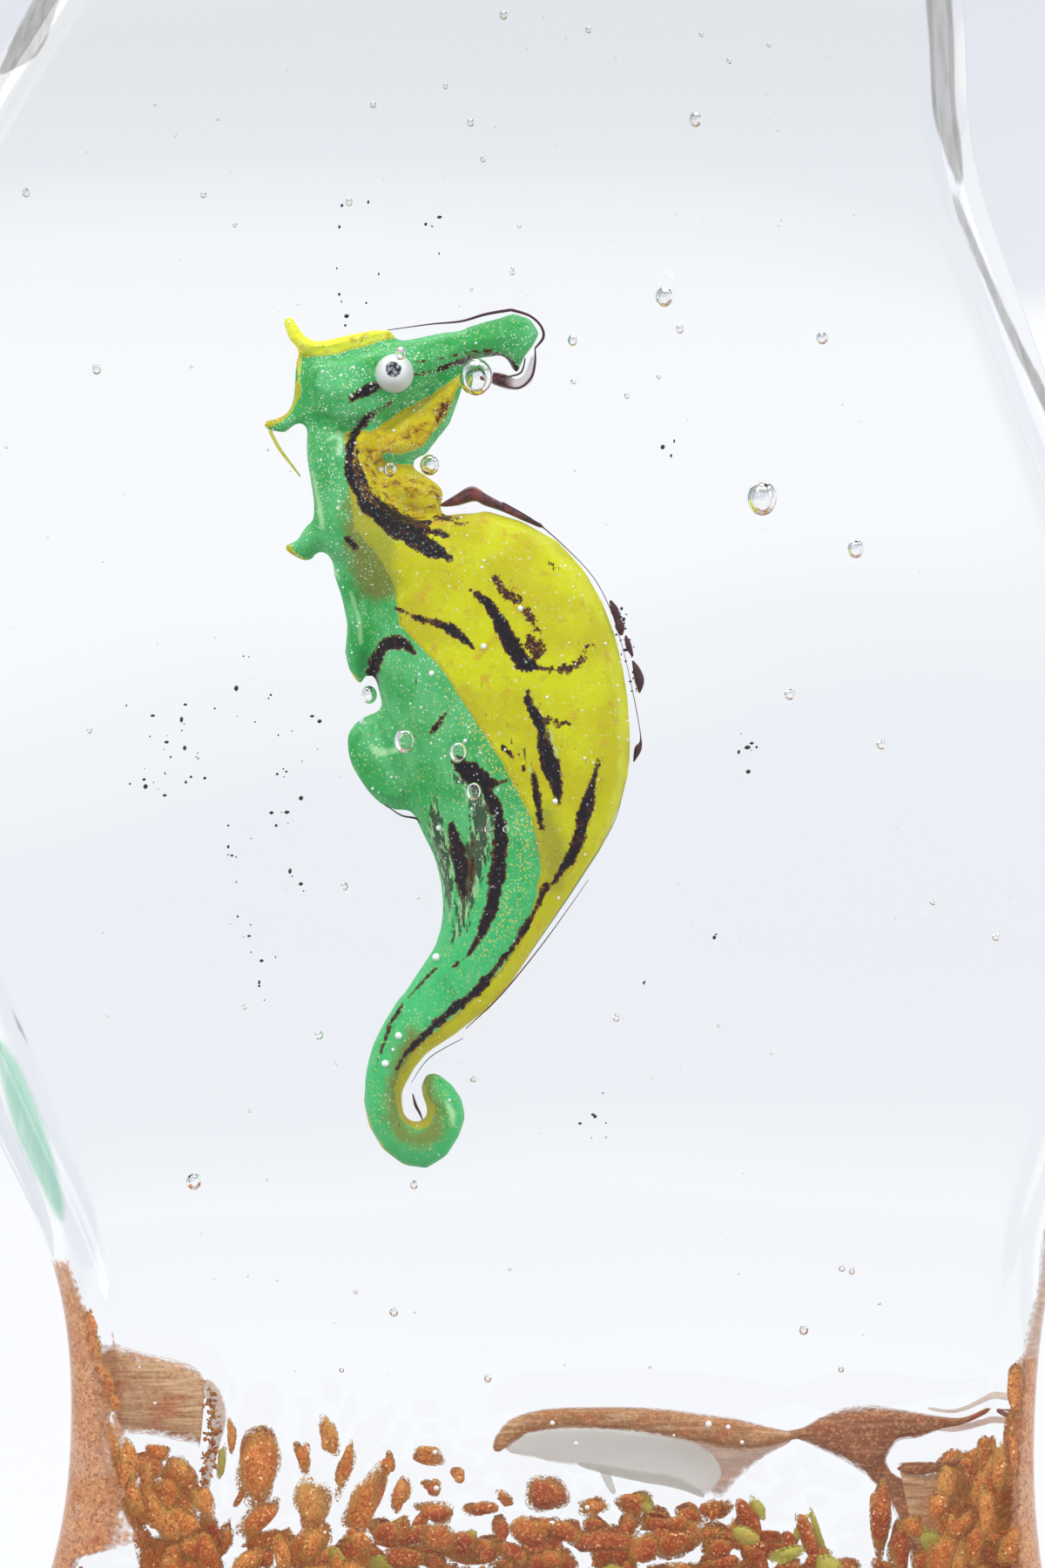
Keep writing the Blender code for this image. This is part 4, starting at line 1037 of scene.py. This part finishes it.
for x, z, spread, count in SWARMS:
    for _ in range(count):
        radius = 0.05 + 0.12 * dice.random() ** 2
        shape = np.array([dice.uniform(0.6, most) for most in (1.4, 1.2, 1.4)]) * radius
        place = (x + dice.gauss(0, spread) * 0.6, dice.gauss(0, 1.2), z + dice.gauss(0, spread))
        specks.add(tiny_points * shape + np.array(place), tiny_faces)
for x, z, radius in BIG_SPECKS:
    shape = np.array((1.3, 1.0, 0.8)) * radius
    specks.add(tiny_points * shape + np.array((x, -1.0, z)), tiny_faces)
scale = Finish("black_scale")
scale_shader = scale.glaze(base_color=(0.02, 0.014, 0.012), roughness=0.5, specular_ior_level=0.3)
add_piece("specks", specks.mesh("specks"), scale.surface(scale_shader))

# ---------------------------------------------------------------------------------------------
# Chips of the sea bed: terracotta aventurine frit rolled onto the first gather, so that it lies in a
# shell near the outside of the foot, with loose chips behind. They go from red through gold to olive
# with their warmth.
# ---------------------------------------------------------------------------------------------
BED_TOP = (
    # x and the height up to which loose chips reach there
    (-31.0, 3.0), (-26.5, 4.0), (-25.0, 12.0), (-23.8, 16.0), (-21.5, 18.0), (-20.0, 15.5),
    (-9.0, 15.6), (-6.0, 15.4), (0.0, 15.6), (8.0, 16.5), (14.0, 16.9), (18.5, 16.2), (20.5, 13.8),
    (25.0, 12.8), (26.5, 11.0), (28.0, 11.5), (29.5, 14.5), (31.0, 18.5), (33.0, 21.5), (35.0, 24.0),
    (38.0, 26.5),
)
CHIPS = (
    # x, z, half width, half height, tilt in degrees, depth, warmth
    (-28.8, 29.5, 0.50, 1.3, -2, -12, 0.7), (-28.4, 27.4, 0.55, 1.5, -10, -12, 0.7),
    (-27.9, 25.4, 0.55, 1.4, -14, -12, 0.6), (-27.3, 24.0, 0.42, 0.9, -14, -12, 0.6),
    (-27.3, 21.0, 0.45, 1.4, -8, -11, 0.8), (-26.6, 18.7, 0.70, 1.8, -15, -11, 0.7),
    (-25.7, 16.0, 0.75, 2.0, -25, -11, 0.7), (-24.6, 13.4, 0.75, 1.8, -35, -11, 0.7),
    (-23.5, 16.4, 1.10, 2.7, -32, -10, 0.75), (-24.9, 19.2, 1.90, 1.2, 5, -8, 0.6),
    (-22.7, 18.5, 1.60, 1.5, 15, -8, 0.6), (-22.4, 13.7, 1.30, 1.7, -10, -11, 0.6),
    (-21.8, 17.0, 0.60, 1.9, 12, -9, 0.65), (-20.3, 14.1, 1.30, 1.7, 10, -10, 0.1),
    (-20.8, 12.3, 1.60, 1.1, 0, -11, 0.2), (-19.5, 19.5, 0.35, 1.2, 5, -9, 1.1),
    (-18.8, 21.2, 0.42, 1.35, 0, -9, 0.8), (-18.2, 17.0, 0.30, 1.0, 25, -9, 0.6),
    (-16.8, 19.5, 1.55, 2.6, 7, -10, 0.45), (-16.7, 15.5, 0.95, 1.9, 53, -11, 0.4),
    (-16.3, 13.9, 1.90, 0.55, -14, -10, 0.45), (-17.6, 12.6, 1.40, 0.8, -20, -10, 0.3),
    (-13.7, 20.0, 0.60, 1.15, -8, -8, 0.6), (-11.9, 21.2, 0.78, 1.5, -3, -9, 0.9),
    (-10.6, 19.4, 0.55, 2.1, 14, -10, 0.55), (-13.2, 16.5, 1.40, 2.4, 0, -12, 0.95),
    (-9.4, 16.1, 1.55, 3.1, 24, -12, 0.55), (-13.6, 13.2, 1.00, 1.8, 12, -12, 0.3),
    (-10.1, 13.3, 1.40, 0.9, -20, -11, 0.15), (-7.7, 13.9, 1.40, 0.35, -15, -11, 0.3),
    (-7.1, 15.0, 1.30, 0.28, -35, -10, 1.0), (-7.5, 19.4, 0.50, 0.95, -10, -9, 0.5),
    (-6.6, 17.1, 0.58, 1.3, 8, -10, 0.7), (-4.8, 20.0, 1.12, 0.98, 0, -8, 0.55),
    (-4.3, 17.7, 0.80, 0.60, 5, -10, 0.2), (-2.5, 18.6, 0.55, 0.65, 0, -9, 0.7),
    (-4.2, 15.9, 1.55, 0.75, 8, -11, 0.2), (-4.0, 13.5, 1.30, 1.3, 0, -12, 0.05),
    (-6.4, 12.5, 1.10, 1.0, 0, -12, 0.1), (-1.0, 16.1, 1.25, 0.65, -5, -11, 0.15),
    (0.6, 14.7, 0.75, 1.25, -12, -11, 0.15), (-1.6, 14.2, 0.80, 0.75, 0, -10, 1.15),
    (0.8, 16.8, 0.48, 0.85, -30, -9, 0.6), (3.8, 17.2, 1.35, 1.25, 0, -10, 0.1),
    (3.3, 14.6, 1.50, 0.75, 0, -12, 0.1), (2.5, 12.8, 2.20, 0.85, -5, -12, 0.05),
    (7.2, 16.3, 0.95, 0.85, 0, -9, 0.6), (10.0, 16.4, 1.20, 1.15, -10, -10, 0.25),
    (10.7, 16.6, 0.75, 0.75, 0, -10, 1.1), (9.5, 14.9, 0.95, 1.3, 0, -11, 0.15),
    (8.0, 14.0, 3.00, 0.90, 0, -12, 0.1), (12.4, 14.2, 2.30, 0.90, 3, -12, 0.15),
    (14.0, 15.6, 1.40, 1.25, -20, -11, 0.15), (15.8, 15.8, 0.42, 0.6, 0, -9, 0.5),
    (16.2, 14.3, 1.90, 0.9, 5, -12, 0.15), (18.1, 15.2, 1.00, 2.1, -22, -10, 0.15),
    (19.0, 16.2, 0.45, 0.9, -30, -10, 1.1), (21.0, 13.2, 0.75, 1.6, -5, -12, 0.1),
    (22.5, 13.9, 0.85, 2.2, -14, -12, 0.2), (21.8, 14.4, 0.45, 1.7, 25, -11, 1.15),
    (23.4, 13.8, 0.40, 2.3, -20, -11, 1.2), (32.5, 18.0, 1.00, 1.3, 0, -12, 0.95),
    (32.7, 14.7, 0.95, 1.8, 0, -13, 0.7), (35.3, 16.6, 0.80, 2.2, 5, -12, 0.8),
    (34.4, 13.7, 0.90, 1.8, 5, -12, 0.3), (36.2, 19.3, 0.50, 1.7, 5, -11, 0.6),
    (33.7, 19.5, 0.90, 0.45, 0, -11, 0.4), (36.8, 13.5, 0.90, 1.7, 10, -11, 0.7),
    (37.2, 25.0, 0.85, 2.2, 0, -10, 0.7), (37.0, 20.6, 0.72, 2.8, 0, -11, 0.55),
    # the leaning chips beside the left edge
    (-26.1, 19.6, 0.7, 1.5, -12, -15, 0.8), (-25.9, 17.4, 0.8, 1.5, -24, -15, 0.7),
    (-24.9, 18.4, 0.8, 1.4, -18, -14, 0.9), (-24.7, 16.2, 0.9, 1.6, -28, -15, 0.75),
    (-23.4, 17.4, 0.8, 1.7, -15, -14, 0.6), (-23.3, 15.2, 0.9, 1.4, -30, -15, 0.8),
    (-22.2, 16.4, 0.9, 1.6, -12, -13, 0.5), (-21.0, 16.8, 0.8, 1.5, -8, -14, 0.85),
    (-21.6, 14.6, 1.0, 1.6, -25, -15, 0.65), (-24.0, 20.3, 0.7, 0.9, -70, -13, 0.55),
    (-22.4, 18.9, 0.8, 1.0, -50, -14, 0.8),
)
LEAVES = (
    # x, z of the top and the bottom, half width, depth, warmth
    (27.7, 18.2, 27.8, 13.0, 0.85, -13, 0.15),
    (29.0, 16.0, 29.3, 11.6, 1.0, -13, 0.15),
    (34.8, 21.6, 35.4, 18.5, 0.65, -12, 0.4),
    (29.4, 19.3, 33.6, 19.0, 0.35, -10, 0.0),
)
LOOSE_CHIPS = 1150
CRUMBS = 110  # along the clear strand beside the stretched plate
STRAND_X, STRAND_DEPTH, STRAND_TOP, STRAND_LENGTH, STRAND_BOW = -21.0, -9.0, 25.6, 8.0, 0.9
SHELL = 7.5  # thickness of the layer in which loose chips lie
OLIVE_CHIPS = 0.035  # share of them
FLOOR = 0.5  # of clear glass under the chips
LUMPS = 0.2  # of a chip, as a share of its half sizes
CHIP_SPAN, LOOSE_SPAN = 1.36, 1.12  # how far the furthest lump reaches, as a share of them

terracotta = Finish("terracotta_aventurine")
warmth = terracotta.measure("warmth")
edge_on = terracotta.measure("rim")
cloud = terracotta.noise(1.2, 4.0) - 0.5
warm = warmth + cloud * 0.9
spark = terracotta.tone_of_grains(0.14)
grainy = warm.rise(0.1, 0.7) * 0.4 + 0.6
clay = terracotta.over(
    terracotta.mix(warm.rise(0.0, 0.55), (0.26, 0.046, 0.014), (0.42, 0.12, 0.024)),
    (warm.rise(0.5, 1.0), (0.49, 0.215, 0.055)),
    (spark.rise(0.6, 0.9) * grainy * 0.6, (0.66, 0.31, 0.09)),
    (spark.rise(0.30, 0.05) * grainy * 0.7, (0.18, 0.045, 0.012)),
    (spark.rise(0.97, 0.985) * grainy * 0.6, (0.95, 0.75, 0.45)),
    ((edge_on + cloud * 0.8).rise(0.55, 0.9) * 0.55, (0.28, 0.18, 0.035)),
    ((warmth + cloud * 0.3).rise(0.98, 1.1) * 0.85, (0.34, 0.33, 0.06)),
)
# painted light: the chips glow a little in their own colour, as if lit through, which flattens their
# shading
chip_shader = terracotta.glaze(
    base_color=clay,
    roughness=0.5,
    specular_ior_level=0.05,
    emission_color=clay,
    emission_strength=0.3,
    alpha=(edge_on + cloud * 0.2 + (terracotta.noise(0.22, 3.0) - 0.5) * 0.9).rise(1.0, 0.78) * 0.98,
)
terracotta_material = terracotta.surface(chip_shader)


def lumpy(points, seed, lump, span):
    """Pushes the points of a ball in and out in lumps, broad ones and finer ones."""
    phase = random.Random(seed)
    out = np.array(points, float)
    for reach in (2.4, 3.0, 3.6, 6.5):
        axis = np.array([phase.uniform(-1, 1) for _ in range(3)]) * reach
        out *= 1 + lump * min(1.0, 3.0 / reach) * np.sin(points @ axis + phase.uniform(0, 6))[:, None]
    return out * span / np.linalg.norm(out, axis=1).max()


def add_chip(place, size, tilt, seed, warm, points, faces, span=LOOSE_SPAN):
    """A chip tilted as the camera sees it, clear of the underside of the foot."""
    turned = lumpy(points, seed, LUMPS, span) * np.array(size)
    c, s = math.cos(math.radians(tilt)), math.sin(math.radians(tilt))
    x, z = turned[:, 0] * c + turned[:, 2] * s, turned[:, 2] * c - turned[:, 0] * s
    placed = np.stack((x, turned[:, 1], z), axis=1) + np.array(place)
    placed[:, 2] = np.maximum(placed[:, 2], FLOOR)
    chips.add(placed, faces)
    chip_measures.extend((warm, math.hypot(p[0], p[2])) for p in points)


def height_at(table, x):
    """Height that a table gives at x."""
    return float(np.interp(x, [row[0] for row in table], [row[1] for row in table]))


def near_edge(x, y, z):
    """Depth of a chip. Beside an edge it lies just under the surface, where the corner bends less."""
    left, right, depth = edge_values(z)
    room = max(0.3, min(x - left, right - x))
    if room > CORNER + 1.2:
        return y
    turn = math.sqrt(max(0.0, CORNER**2 - max(0.0, CORNER - room) ** 2))
    return -(depth - FACE_SWELL - CORNER + turn) + 1.5


chips, chip_measures = Shape(), []
for i, (x, z, wide, high, tilt, y, warm) in enumerate(CHIPS):
    y = near_edge(x, y, z)
    size = (wide, min(wide, high) * (0.8 if y < -14 else 1.2), high)
    add_chip(sight(x, y, z), size, tilt, i, warm, ball_points, ball_faces, CHIP_SPAN)
for i, (x0, z0, x1, z1, half, y, warm) in enumerate(LEAVES):
    long = math.hypot(x1 - x0, z1 - z0) / 2
    leaf = np.array(ball_points)
    leaf[:, :2] *= np.sqrt(1 - 0.75 * leaf[:, 2:] ** 2)
    lean = math.degrees(math.atan2(x0 - x1, z0 - z1))
    place = sight((x0 + x1) / 2, y, (z0 + z1) / 2)
    add_chip(place, (half, half * 0.8, long), lean, 70 + i, warm, leaf, ball_faces, CHIP_SPAN)
dice = random.Random(23)
made = 0
while made < LOOSE_CHIPS:
    z = dice.uniform(2.4, 19.5)
    left, right, depth = edge_values(z)
    x, y = dice.uniform(left + 2.2, right - 2.2), dice.uniform(-1, 1) * (depth - 2.4)
    seen_x, seen_z = shown(x, y, z)
    outer = seen_x < -9 or seen_x > 29
    wide, high = dice.uniform(0.7, 1.4), dice.uniform(1.1, 2.4)
    tilt = dice.gauss(-30 if seen_x < -20 else 15, 18) if outer else dice.gauss(90, 40)
    inner = min(x - left, right - x, depth - abs(y), z * 1.2)
    top = seen_z + (high if outer else wide) * 0.9
    if top > height_at(BED_TOP, seen_x) or inner > SHELL or dice.random() < inner / 9:
        continue
    warm = dice.random() * (0.5 if outer else 0.3) + (0.3 if outer else 0.0)
    if dice.random() < OLIVE_CHIPS:
        warm = 1.1
    add_chip((x, y, z), (wide, min(wide, high), high), tilt, 100 + made, warm, small_points, small_faces)
    made += 1
for _ in range(CRUMBS):
    share = dice.random()
    bow = STRAND_BOW * math.sin(math.pi * share)
    x = STRAND_X + bow + dice.gauss(0, 0.3)
    place = sight(x, STRAND_DEPTH + dice.gauss(0, 0.5), STRAND_TOP - STRAND_LENGTH * share)
    size = [dice.uniform(0.1, 0.32) for _ in range(3)]
    add_chip(place, size, dice.uniform(0, 90), 5, dice.uniform(0.0, 0.9), tiny_points, tiny_faces)
chip_mesh = chips.mesh("chips")
for measure, values in zip(("warmth", "rim"), zip(*chip_measures)):
    keep_measure(chip_mesh, measure, values)
add_piece("chips", chip_mesh, terracotta_material, ("seabed",))

# ---------------------------------------------------------------------------------------------
# Bubbles of the sea bed: white pinheads caught among the chips and in front of the arch, as the
# next gather closed over them.
# ---------------------------------------------------------------------------------------------
BED_BUBBLES = (
    # x, z and radius of each
    (4.2, 22.4, 0.18), (5.9, 20.9, 0.17), (15.4, 22.3, 0.24), (16.8, 22.1, 0.18), (17.8, 21.0, 0.15),
    (4.2, 15.1, 0.27), (6.7, 16.3, 0.18), (-4.2, 20.3, 0.17), (-4.1, 17.7, 0.2), (-16.1, 22.1, 0.18),
    (-12.1, 14.5, 0.12), (-24.3, 23.8, 0.12), (-25.4, 26.4, 0.1), (-20.8, 19.3, 0.12),
    (12.9, 21.5, 0.1),
)
BED_BUBBLE_DEPTH = -14.5
bed_bubbles = Shape()
for x, z, radius in BED_BUBBLES:
    bed_bubbles.add(small_points * radius + np.array(sight(x, BED_BUBBLE_DEPTH, z)), small_faces)
add_piece("bed_bubbles", bed_bubbles.mesh("bed_bubbles"), pinhead_material)

# ---------------------------------------------------------------------------------------------
# Stretched sheets: the same terracotta glass, drawn out hot into an arch, a plate and strands among
# the chips, and the grainy skins of it that cover both sides of the foot. Their tone goes from dark
# to pink.
# ---------------------------------------------------------------------------------------------
WALLS = (
    # tone, strength, left side or not, then rows of the height and of x where it ends in front
    (1.0, 1.0, True, (
        (34.8, -30.8), (33.4, -30.3), (31.0, -29.4), (28.6, -28.7), (25.0, -28.1), (21.0, -27.7),
        (18.0, -27.2), (16.6, -26.4), (15.4, -25.6), (14.7, -27.0), (14.0, -29.2), (13.2, -30.2),
        (8.0, -31.0), (3.0, -32.5),
    )),
    (1.0, 1.0, False, (
        (28.0, 38.0), (25.0, 37.9), (22.5, 37.7), (18.5, 37.5), (15.4, 37.4), (8.0, 38.0), (3.0, 39.0),
    )),
    (0.5, 0.6, False, ((38.0, 39.9), (33.0, 39.2), (30.0, 38.5), (27.2, 37.9))),
)
WALL_INSET, WALL_THICK, WALL_STEPS = 0.3, 0.5, 30
SHEET_SIDES = 28
SHEETS = (
    # tone, strength, depth and half depth of the middle, then rows of x, z of one edge and the other
    (0.66, 1.0, -7, 3.5, (
        (-27.6, 28.4, -26.9, 21.7), (-25.8, 27.7, -25.6, 21.5), (-24.3, 27.3, -24.2, 21.4),
        (-22.9, 27.0, -22.9, 21.1), (-21.5, 26.5, -21.4, 20.8), (-20.6, 25.6, -21.0, 20.4),
    )),
    (0.5, 0.45, -8, 0.6, (
        (-20.9, 25.4, -20.3, 25.6), (-20.6, 24.0, -19.4, 24.4), (-20.2, 22.4, -19.1, 22.6),
        (-20.5, 20.6, -19.6, 20.6), (-21.0, 18.4, -20.2, 18.4), (-20.8, 16.4, -20.3, 16.4),
    )),
    (0.3, 1.0, -6, 5.0, (
        (-0.1, 20.5, 0.3, 20.2), (0.2, 21.5, 1.2, 20.7), (1.1, 22.6, 2.4, 21.5), (2.6, 23.2, 3.2, 21.7),
        (4.7, 23.5, 4.8, 21.9), (7.2, 23.55, 7.2, 21.9), (9.8, 23.55, 9.8, 21.7),
        (12.3, 23.4, 12.3, 21.3), (14.9, 23.05, 14.8, 20.8), (17.4, 22.7, 17.3, 20.4),
        (19.8, 22.1, 19.6, 20.6), (21.6, 21.8, 21.7, 21.2), (22.6, 22.4, 22.6, 21.0),
    )),
    (0.45, 0.6, -6.6, 1.2, (
        (12.2, 22.0, 12.5, 21.0), (14.2, 21.8, 14.6, 18.8), (15.8, 21.6, 16.0, 16.9),
        (17.0, 21.6, 17.6, 18.4), (19.0, 21.6, 19.4, 19.9), (21.4, 21.6, 21.4, 21.0),
    )),
    (0.0, 1.0, -6, 5.0, (
        (20.9, 21.8, 21.1, 21.4), (22.2, 22.1, 22.3, 21.0), (23.3, 22.8, 23.3, 20.5),
        (25.1, 23.5, 25.1, 19.6), (26.8, 23.7, 27.0, 18.5), (27.7, 23.65, 28.0, 19.6),
        (28.4, 23.5, 28.9, 21.0), (30.2, 23.2, 30.4, 21.3), (31.8, 22.9, 32.0, 21.9),
        (33.6, 22.8, 33.7, 22.3), (35.4, 23.6, 35.5, 23.2),
    )),
    (0.6, 0.5, -8, 0.5, (
        (30.4, 22.5, 30.5, 22.1), (32.6, 22.2, 32.7, 21.7), (34.6, 22.6, 34.8, 22.1),
        (36.4, 23.2, 36.6, 22.8),
    )),
    (0.7, 0.4, -8, 0.5, (
        (31.0, 23.6, 31.1, 23.3), (33.0, 23.4, 33.1, 23.1), (35.0, 24.3, 35.2, 23.9),
        (36.6, 25.4, 36.9, 24.9),
    )),
    (0.15, 1.0, -7, 2.5, (
        (26.0, 20.6, 27.9, 21.0), (26.8, 18.5, 28.4, 19.0), (27.9, 17.3, 29.8, 18.0),
        (28.9, 15.4, 31.6, 16.4), (29.6, 13.4, 32.2, 14.0), (30.0, 11.0, 32.6, 11.0),
    )),
    (0.8, 1.0, -8, 2.5, (
        (29.0, 19.0, 29.2, 18.6), (30.2, 19.2, 30.2, 13.4), (31.6, 19.1, 31.6, 11.6),
        (32.4, 17.4, 32.4, 11.4),
    )),
    (0.0, 1.0, -10, 0.8, (
        (28.8, 19.2, 29.0, 18.9), (30.2, 19.6, 30.4, 18.6), (31.8, 19.5, 32.0, 18.9),
        (33.4, 19.9, 33.6, 19.5),
    )),
)
sheet = Finish("stretched_terracotta")
tone = sheet.measure("warmth")
at_side = tone.rise(0.85, 0.95)  # the grainy skins, where nothing is drawn out in bands
bands = sheet.noise(0.28, 4.0, stretch=(0.08, 0.08, 1.0), rough=0.6)
banded = (1 - at_side) * (tone.rise(0.0, 0.7) * 0.8 + 0.2)
paler = sheet.noise(2.6, 3.0).rise(0.45, 0.62) * at_side
grit = sheet.tone_of_grains(0.17)
brown_sheet = sheet.over(
    sheet.mix(tone.rise(0.0, 0.35), (0.19, 0.066, 0.026), (0.28, 0.135, 0.055)),
    (tone.rise(0.35, 0.66), (0.40, 0.245, 0.13)),
    (tone.rise(0.7, 1.0), (0.47, 0.23, 0.11)),
    (bands.rise(0.48, 0.62) * banded * 0.8, (0.56, 0.40, 0.25)),
    (bands.rise(0.47, 0.36) * banded * 0.75, (0.22, 0.08, 0.03)),
    (sheet.noise(1.6, 4.0).rise(0.48, 0.68) * 0.5, (0.36, 0.10, 0.03)),
    (paler * 0.7, (0.50, 0.31, 0.21)),
    (grit.rise(0.6, 0.95) * (0.3 + at_side * 0.3), (0.68, 0.38, 0.17)),
    (grit.rise(0.3, 0.05) * (0.25 + at_side * 0.35), (0.22, 0.06, 0.02)),
)
fuzz = sheet.measure("rim") + (sheet.noise(0.4, 3.0) - 0.5) * 0.7
# painted light: the sheets glow a little in their own colour, as if lit through, which flattens their
# shading
sheet_shader = sheet.glaze(
    base_color=brown_sheet,
    roughness=0.5,
    specular_ior_level=0.05,
    emission_color=brown_sheet,
    emission_strength=0.3,
    alpha=fuzz.rise(1.05, 0.7) * 0.96 * sheet.measure("strength"),
)


def round_ring(ring, place):
    """The point at a place round a ring, between its own points."""
    i = math.floor(place)
    share = place - i
    return ring[i % len(ring)] * (1 - share) + ring[(i + 1) % len(ring)] * share


def wall(rows, left):
    """Rings of a skin just under the outside of the body, from the front round one side to the back."""
    rings = []
    for z, edge in curve_through(rows, 6):
        outer, inner = (np.array(body_ring(z, inset)) for inset in (WALL_INSET, WALL_INSET + WALL_THICK))
        middle, ahead = (SIDE_STEPS / 2 + len(outer) / 2, 1) if left else (SIDE_STEPS / 2, -1)
        stop = sight(edge, 0.9 * -edge_values(z)[2], z)[0]
        reach = 0.5
        while ahead * (stop - round_ring(outer, middle + ahead * reach)[0]) > 0 and reach < 40:
            reach += 0.1
        shares = np.linspace(-1, 1, WALL_STEPS)
        ring = [round_ring(outer, middle + ahead * (reach * t)) for t in shares]
        ring += [round_ring(inner, middle + ahead * (reach * t)) for t in -shares]
        rings.append(ring)
    return rings


def stretched(name, forms, walls, material, replaces=()):
    """Sheets pulled between the chips, as one piece. Their faces are flat and their rims fade."""
    shape, kept = Shape(), []
    for tone, strength, y, half, rows in forms:
        rings = pressed([(*row, y, half) for row in rows], SHEET_SIDES, 6, square=0.45)
        shape.add(*lofted([[sight(*p) for p in ring] for ring in rings]))
        for ring in rings:
            first, last = ring[0], ring[SHEET_SIDES // 2]
            middle, run = (first + last) / 2, first - last
            rims = [abs(2 * (p - middle) @ run / max(run @ run, 1e-9)) for p in ring]
            kept.extend((tone, rim, strength) for rim in rims)
    for tone, strength, left, rows in walls:
        rings = wall(rows, left)
        shape.add(*lofted(rings))
        half = len(rings[0]) // 2
        rims = [abs(t) ** 3 for t in np.linspace(-1, 1, half)] * 2
        for ring in rings:
            near_top = max(0.0, 1 - (rings[0][0][2] - ring[0][2]) / 2.5)
            kept.extend((tone, max(rim, near_top), strength) for rim in rims)
    mesh = shape.mesh(name)
    for measure, values in zip(("warmth", "rim", "strength"), zip(*kept)):
        keep_measure(mesh, measure, values)
    add_piece(name, mesh, material, replaces)


stretched("sheets", SHEETS, WALLS, sheet.surface(sheet_shader), ("bed_arch", "bed_sheet"))

# ---------------------------------------------------------------------------------------------
# Veil: a grey sheet of painted reflection under the arch, standing for a flat film of trapped gas, and
# the thin pale folds in front of it. The film is a gap between two gathers, with no colour of its own;
# the grey that it reflects is painted, with a glow.
# ---------------------------------------------------------------------------------------------
VEILS = (
    # as the sheets, with a tone that goes from grey to brown
    (0.0, 1.0, -7, 1.0, (
        (0.8, 20.9, 1.0, 20.2), (2.0, 21.6, 3.0, 19.8), (3.6, 22.0, 4.6, 19.4), (6.6, 22.2, 7.4, 19.1),
        (9.4, 22.0, 10.0, 18.3), (12.0, 21.8, 12.6, 17.9), (13.8, 21.4, 14.6, 17.1),
        (15.2, 20.6, 15.7, 17.4), (16.2, 19.4, 16.4, 18.6),
    )),
    (1.0, 0.7, -7.6, 0.5, (
        (5.9, 19.6, 6.1, 19.2), (8.2, 19.3, 8.5, 18.5), (10.6, 18.9, 10.8, 18.0),
        (13.0, 18.5, 13.3, 17.5), (14.9, 17.5, 15.2, 16.8),
    )),
    (1.0, 0.5, -7.4, 0.5, ((7.4, 19.2, 8.2, 19.2), (7.8, 18.2, 8.5, 18.3), (8.4, 17.2, 8.8, 17.2))),
)
veil = Finish("painted_gas_reflection")
veil_tone = veil.measure("warmth").rise(0.2, 0.8)
gas_reflection_grey = veil.mix(veil_tone, (0.38, 0.375, 0.355), (0.27, 0.26, 0.23))
veil_rim = veil.measure("rim") + (veil.noise(0.9, 3.0) - 0.5) * 0.3
# painted reflection: grey with a strong glow, so that it looks flat and even
veil_shader = veil.glaze(
    base_color=gas_reflection_grey,
    roughness=0.6,
    specular_ior_level=0.0,
    emission_color=gas_reflection_grey,
    emission_strength=0.8,
    alpha=veil_rim.rise(1.05, 0.7) * 0.9 * veil.measure("strength"),
)
stretched("veils", VEILS, (), veil.surface(veil_shader))
